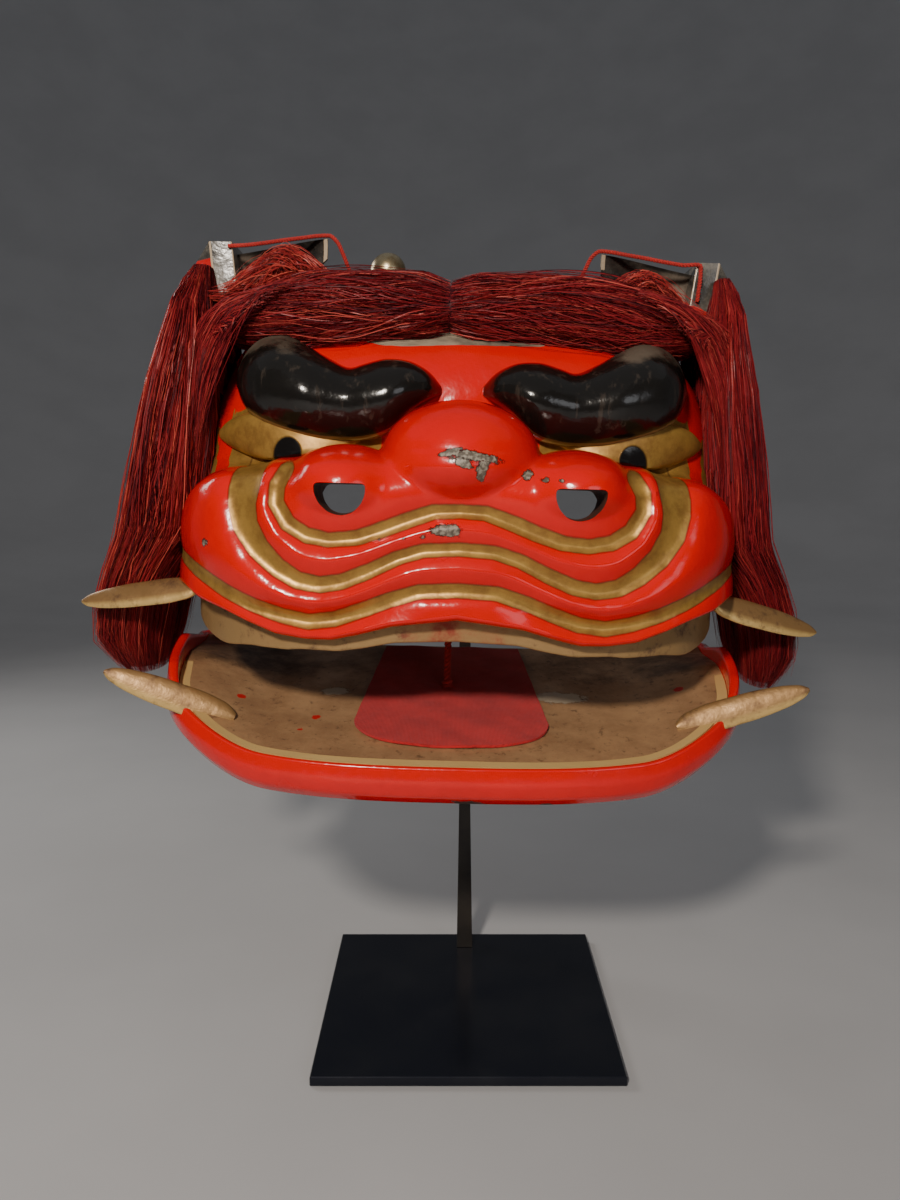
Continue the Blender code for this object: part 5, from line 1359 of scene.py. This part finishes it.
def makeCurtains():
    # Painted light: the left curtain's colours are brighter and redder than the right's, for the key light from the
    # left
    looks = (("left", -1, 1.0, 1.0, (0.30, 0.020, 0.022), (0.58, 0.085, 0.055)),
             ("right", 1, 0.72, 0.85, (0.24, 0.014, 0.018), (0.42, 0.05, 0.04)))
    for word, side, fullness, countShare, middle, light in looks:
        finish = hairFinish(f"hair_{word}", (0.055, 0.004, 0.008), middle, light)
        turns = np.linspace(0.0, 2.0 * math.pi, 64, endpoint=False)
        core = curtainSpots(side, fullness, np.linspace(0.0, 0.985, 90)[:, None], turns[None, :], hair["coreShare"])
        makeCore(f"hair_core_{word}", f"hair_{word}", core, finish)
        count = int(hair["curtainStrands"] * countShare)
        base = dice.uniform(0.0, 2.0 * math.pi, (count, 1))
        lock = nearestLock(base, np.sort(dice.uniform(0.0, 2.0 * math.pi, 60)))
        start = dice.uniform(0.0, 0.10, (count, 1)) ** 1.3
        end = np.clip(dice.normal(0.975, 0.035, (count, 1)), 0.6, 1.0)
        drop = start + (end - start) * alongStrand
        turn = base + (lock - base) * (0.05 + 0.40 * drop) + 0.05 * np.sin(6.0 * drop + base * 9.0)
        turn = turn + dice.normal(0.0, 0.12, (count, 1)) * drop
        turn = turn + 0.03 * sway(drop, 10.0, 30.0)
        out = dice.uniform(0.92, 1.03, (count, 1)) + 0.025 * np.cos((base - lock) * 9.0) * drop
        out = out + 0.018 * sway(drop, 6.0, 26.0)
        loose = dice.random((count, 1)) < 0.03
        out = out + np.where(loose, dice.uniform(0.02, 0.22, (count, 1)) * drop ** 1.5, 0.0)
        routes = curtainSpots(side, fullness, drop, turn, out)
        centre = curtainSpots(side, fullness, drop, turn, out * 0.5)
        shade = np.clip(dice.normal(0.44, 0.24, count) + 0.08 * np.cos(lock[:, 0] * 7.0), 0.0, 1.2)
        ribbons(f"hair_strands_{word}", routes, routes - centre, shade, 1.3, finish)


def makeCrownHair():
    finish = hairFinish("hair_crown", (0.055, 0.004, 0.008), (0.25, 0.014, 0.018), (0.50, 0.08, 0.06))
    turns = np.linspace(0.0, 2.0 * math.pi, 48, endpoint=False)
    core = rollSpots(np.linspace(-1.0, 1.0, 120)[:, None], turns[None, :], hair["coreShare"])
    makeCore("hair_core_crown", "hair_crown", core, finish)
    count = hair["crownStrands"]
    side = np.where(dice.random((count, 1)) < 0.5, -1.0, 1.0)
    start = -0.056 + side * dice.uniform(0.0, 0.55, (count, 1)) ** 1.6
    end = side * np.clip(dice.normal(0.93, 0.10, (count, 1)), 0.3, 1.02)
    share = start + (end - start) * alongStrand
    base = dice.uniform(-0.6 * math.pi, 1.25 * math.pi, (count, 1)) + math.pi / 2.0
    lock = nearestLock(base, np.sort(dice.uniform(-0.2, 2.2 * math.pi, 20)))
    turn = base + (lock - base) * 0.25 * np.abs(share) + 0.16 * np.sin(5.0 * share + base * 3.0)
    turn = turn + dice.normal(0.0, 0.34, (count, 1)) * alongStrand
    turn = turn + 0.10 * sway(share, 4.0, 18.0)
    out = dice.uniform(0.92, 1.07, (count, 1)) + 0.02 * np.cos((base - lock) * 7.0)
    out = out + 0.035 * sway(share, 3.0, 14.0)
    loose = dice.random((count, 1)) < 0.05
    out = out + np.where(loose, dice.uniform(0.05, 0.30, (count, 1)) * np.sin(math.pi * alongStrand), 0.0)
    routes = rollSpots(share, turn, out)
    centre = rollSpots(share, turn, out * 0.3)
    shade = np.clip(dice.normal(0.46, 0.26, count) + 0.08 * np.cos(lock[:, 0] * 5.0), 0.0, 1.2)
    ribbons("hair_strands_crown", routes, routes - centre, shade, 1.3, finish)


# Tufts of hair that stand up in front of the ears
def makeTufts():
    finish = hairFinish("hair_tufts", (0.07, 0.005, 0.008), (0.34, 0.024, 0.022), (0.62, 0.11, 0.07))
    count, t = hair["tuftStrands"], alongStrand
    for side, word, drop in ((-1, "left", 0.0), (1, "right", 0.009)):
        centre = dice.normal(0.108, 0.012, (count, 1))
        half = dice.uniform(0.010, 0.030, (count, 1))
        x = centre + half * (2.0 * t - 1.0) * np.where(dice.random((count, 1)) < 0.5, 1.0, -1.0)
        tall = 0.030 * np.exp(-(((centre - 0.106) / 0.014) ** 2)) * dice.uniform(0.55, 1.0, (count, 1))
        arch = tall * np.sin(math.pi * np.clip(t * 0.9 + 0.05, 0.0, 1.0)) ** 0.8
        y = -0.066 + dice.normal(0.0, 0.006, (count, 1)) + 0.004 * np.sin(7.0 * t + centre * 300.0)
        z = 0.484 - drop + arch + dice.normal(0.0, 0.0015, (count, 1))
        routes = np.stack((side * x, y + 0.0 * t, z), axis=-1)
        outward = np.zeros(routes.shape) + np.array((0.0, -1.0, 0.5))
        shade = np.clip(dice.normal(0.55, 0.22, count), 0.0, 1.0)
        ribbons(f"hair_tuft_{word}", routes, outward, shade, 1.2, finish)


# Hair that falls from the crown past the brow's outer end
def makeFalls():
    finish = hairFinish("hair_falls", (0.055, 0.004, 0.008), (0.27, 0.017, 0.020), (0.50, 0.08, 0.06))
    count, t, share = hair["fallStrands"], alongStrand, alongStrand[..., None]
    for side, word in ((-1, "left"), (1, "right")):
        across, spread = dice.uniform(0.0, 1.0, (count, 1)), dice.normal(0.0, 1.0, (count, 1))
        low = 0.452 - 0.075 * dice.random((count, 1))
        start = np.stack((0.098 + 0.040 * across, -0.098 + 0.004 * spread, 0.488 - 0.030 * across), axis=-1)
        bend = np.stack((0.146 + 0.006 * spread, -0.108 + 0.003 * spread, 0.482 - 0.012 * across), axis=-1)
        end = np.stack((0.156 + 0.012 * across, -0.092 + 0.030 * across, low), axis=-1)
        routes = (1.0 - share) ** 2 * start + 2.0 * share * (1.0 - share) * bend + share ** 2 * end
        routes = routes + 0.0012 * np.sin(t * 9.0 + spread * 4.0)[..., None]
        routes = routes * np.array((side, 1.0, 1.0))
        outward = np.zeros(routes.shape) + np.array((side * 0.4, -1.0, 0.3))
        shade = np.clip(dice.normal(0.46, 0.24, count), 0.0, 1.1)
        ribbons(f"hair_fall_{word}", routes, outward, shade, 1.2, finish)


makeCurtains()
makeCrownHair()
makeTufts()
makeFalls()
print("hair made")


# Finishes of the plain pieces that keep their solid form

plain = {
    "stand_plate": steelFinish("stand_steel", (0.011, 0.013, 0.022), (0.020, 0.022, 0.030), 0.24),
    "stand_post": steelFinish("post_steel", (0.020, 0.018, 0.018), (0.060, 0.050, 0.042), 0.36),
    "hinge_pin_left": woodFinish("pin_wood", (0.34, 0.22, 0.12), (0.17, 0.10, 0.05)),
    "hinge_pin_right": woodFinish("pin_wood_right", (0.34, 0.22, 0.12), (0.17, 0.10, 0.05)),
    "grip_bar": woodFinish("bar_wood", (0.52, 0.40, 0.27), (0.33, 0.23, 0.14)),
}
for name, finish in plain.items():
    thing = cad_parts[name]
    for spot in thing.material_slots:
        spot.material = finish
bpy.data.objects.remove(trimmer, do_unlink=True)


# Floor, light and air

studio = {
    "floorHalf": 7.0, "dishStart": 2.2, "dishRise": 0.22, "air": (0.42, 0.43, 0.45), "airStrength": 0.40,
    "aim": (0.0, -0.05, 0.33),
}
# Place, size, power and colour
lamps = {
    "key_light": ((-0.30, -1.25, 0.92), 0.12, 17.0, (1.0, 0.91, 0.80)),
    "soft_light": ((0.9, -1.5, 0.7), 0.7, 2.6, (0.94, 0.96, 1.0)),
    "rim_light": ((-1.0, 0.7, 0.9), 0.5, 5.0, (1.0, 0.97, 0.92)),
}


def makeStage():
    work = bmesh.new()
    bmesh.ops.create_grid(work, x_segments=80, y_segments=80, size=studio["floorHalf"])
    for vert in work.verts:  # a round dish, so that every side has the same pale background
        vert.co.z = studio["dishRise"] * max(0.0, vert.co.xy.length - studio["dishStart"]) ** 2
    material, tree, shader = newFinish("pale_floor", 0.75)
    cloud = between(tree, noise(tree, 3.0), 0.3, 0.7)
    feed(tree, shader.inputs["Base Color"], blendColour(tree, cloud, (0.50, 0.50, 0.51), (0.46, 0.46, 0.47)))
    floor = newPiece("floor", smoothMesh(work, "floor"), material)
    world = bpy.data.worlds.new("studio")
    world.use_nodes = True
    air = world.node_tree.nodes["Background"].inputs
    air["Color"].default_value = (*studio["air"], 1.0)
    air["Strength"].default_value = studio["airStrength"]
    scene.world = world
    for name, (place, size, power, colour) in lamps.items():
        lamp = bpy.data.lights.new(name, "AREA")
        lamp.shape = "DISK"
        lamp.size = size
        lamp.energy = power
        lamp.color = colour
        light = bpy.data.objects.new(name, lamp)
        scene.collection.objects.link(light)
        light.location = place
        aim = Vector(studio["aim"]) - Vector(place)
        light.rotation_euler = aim.to_track_quat("-Z", "Y").to_euler()


makeStage()
print("stage made")
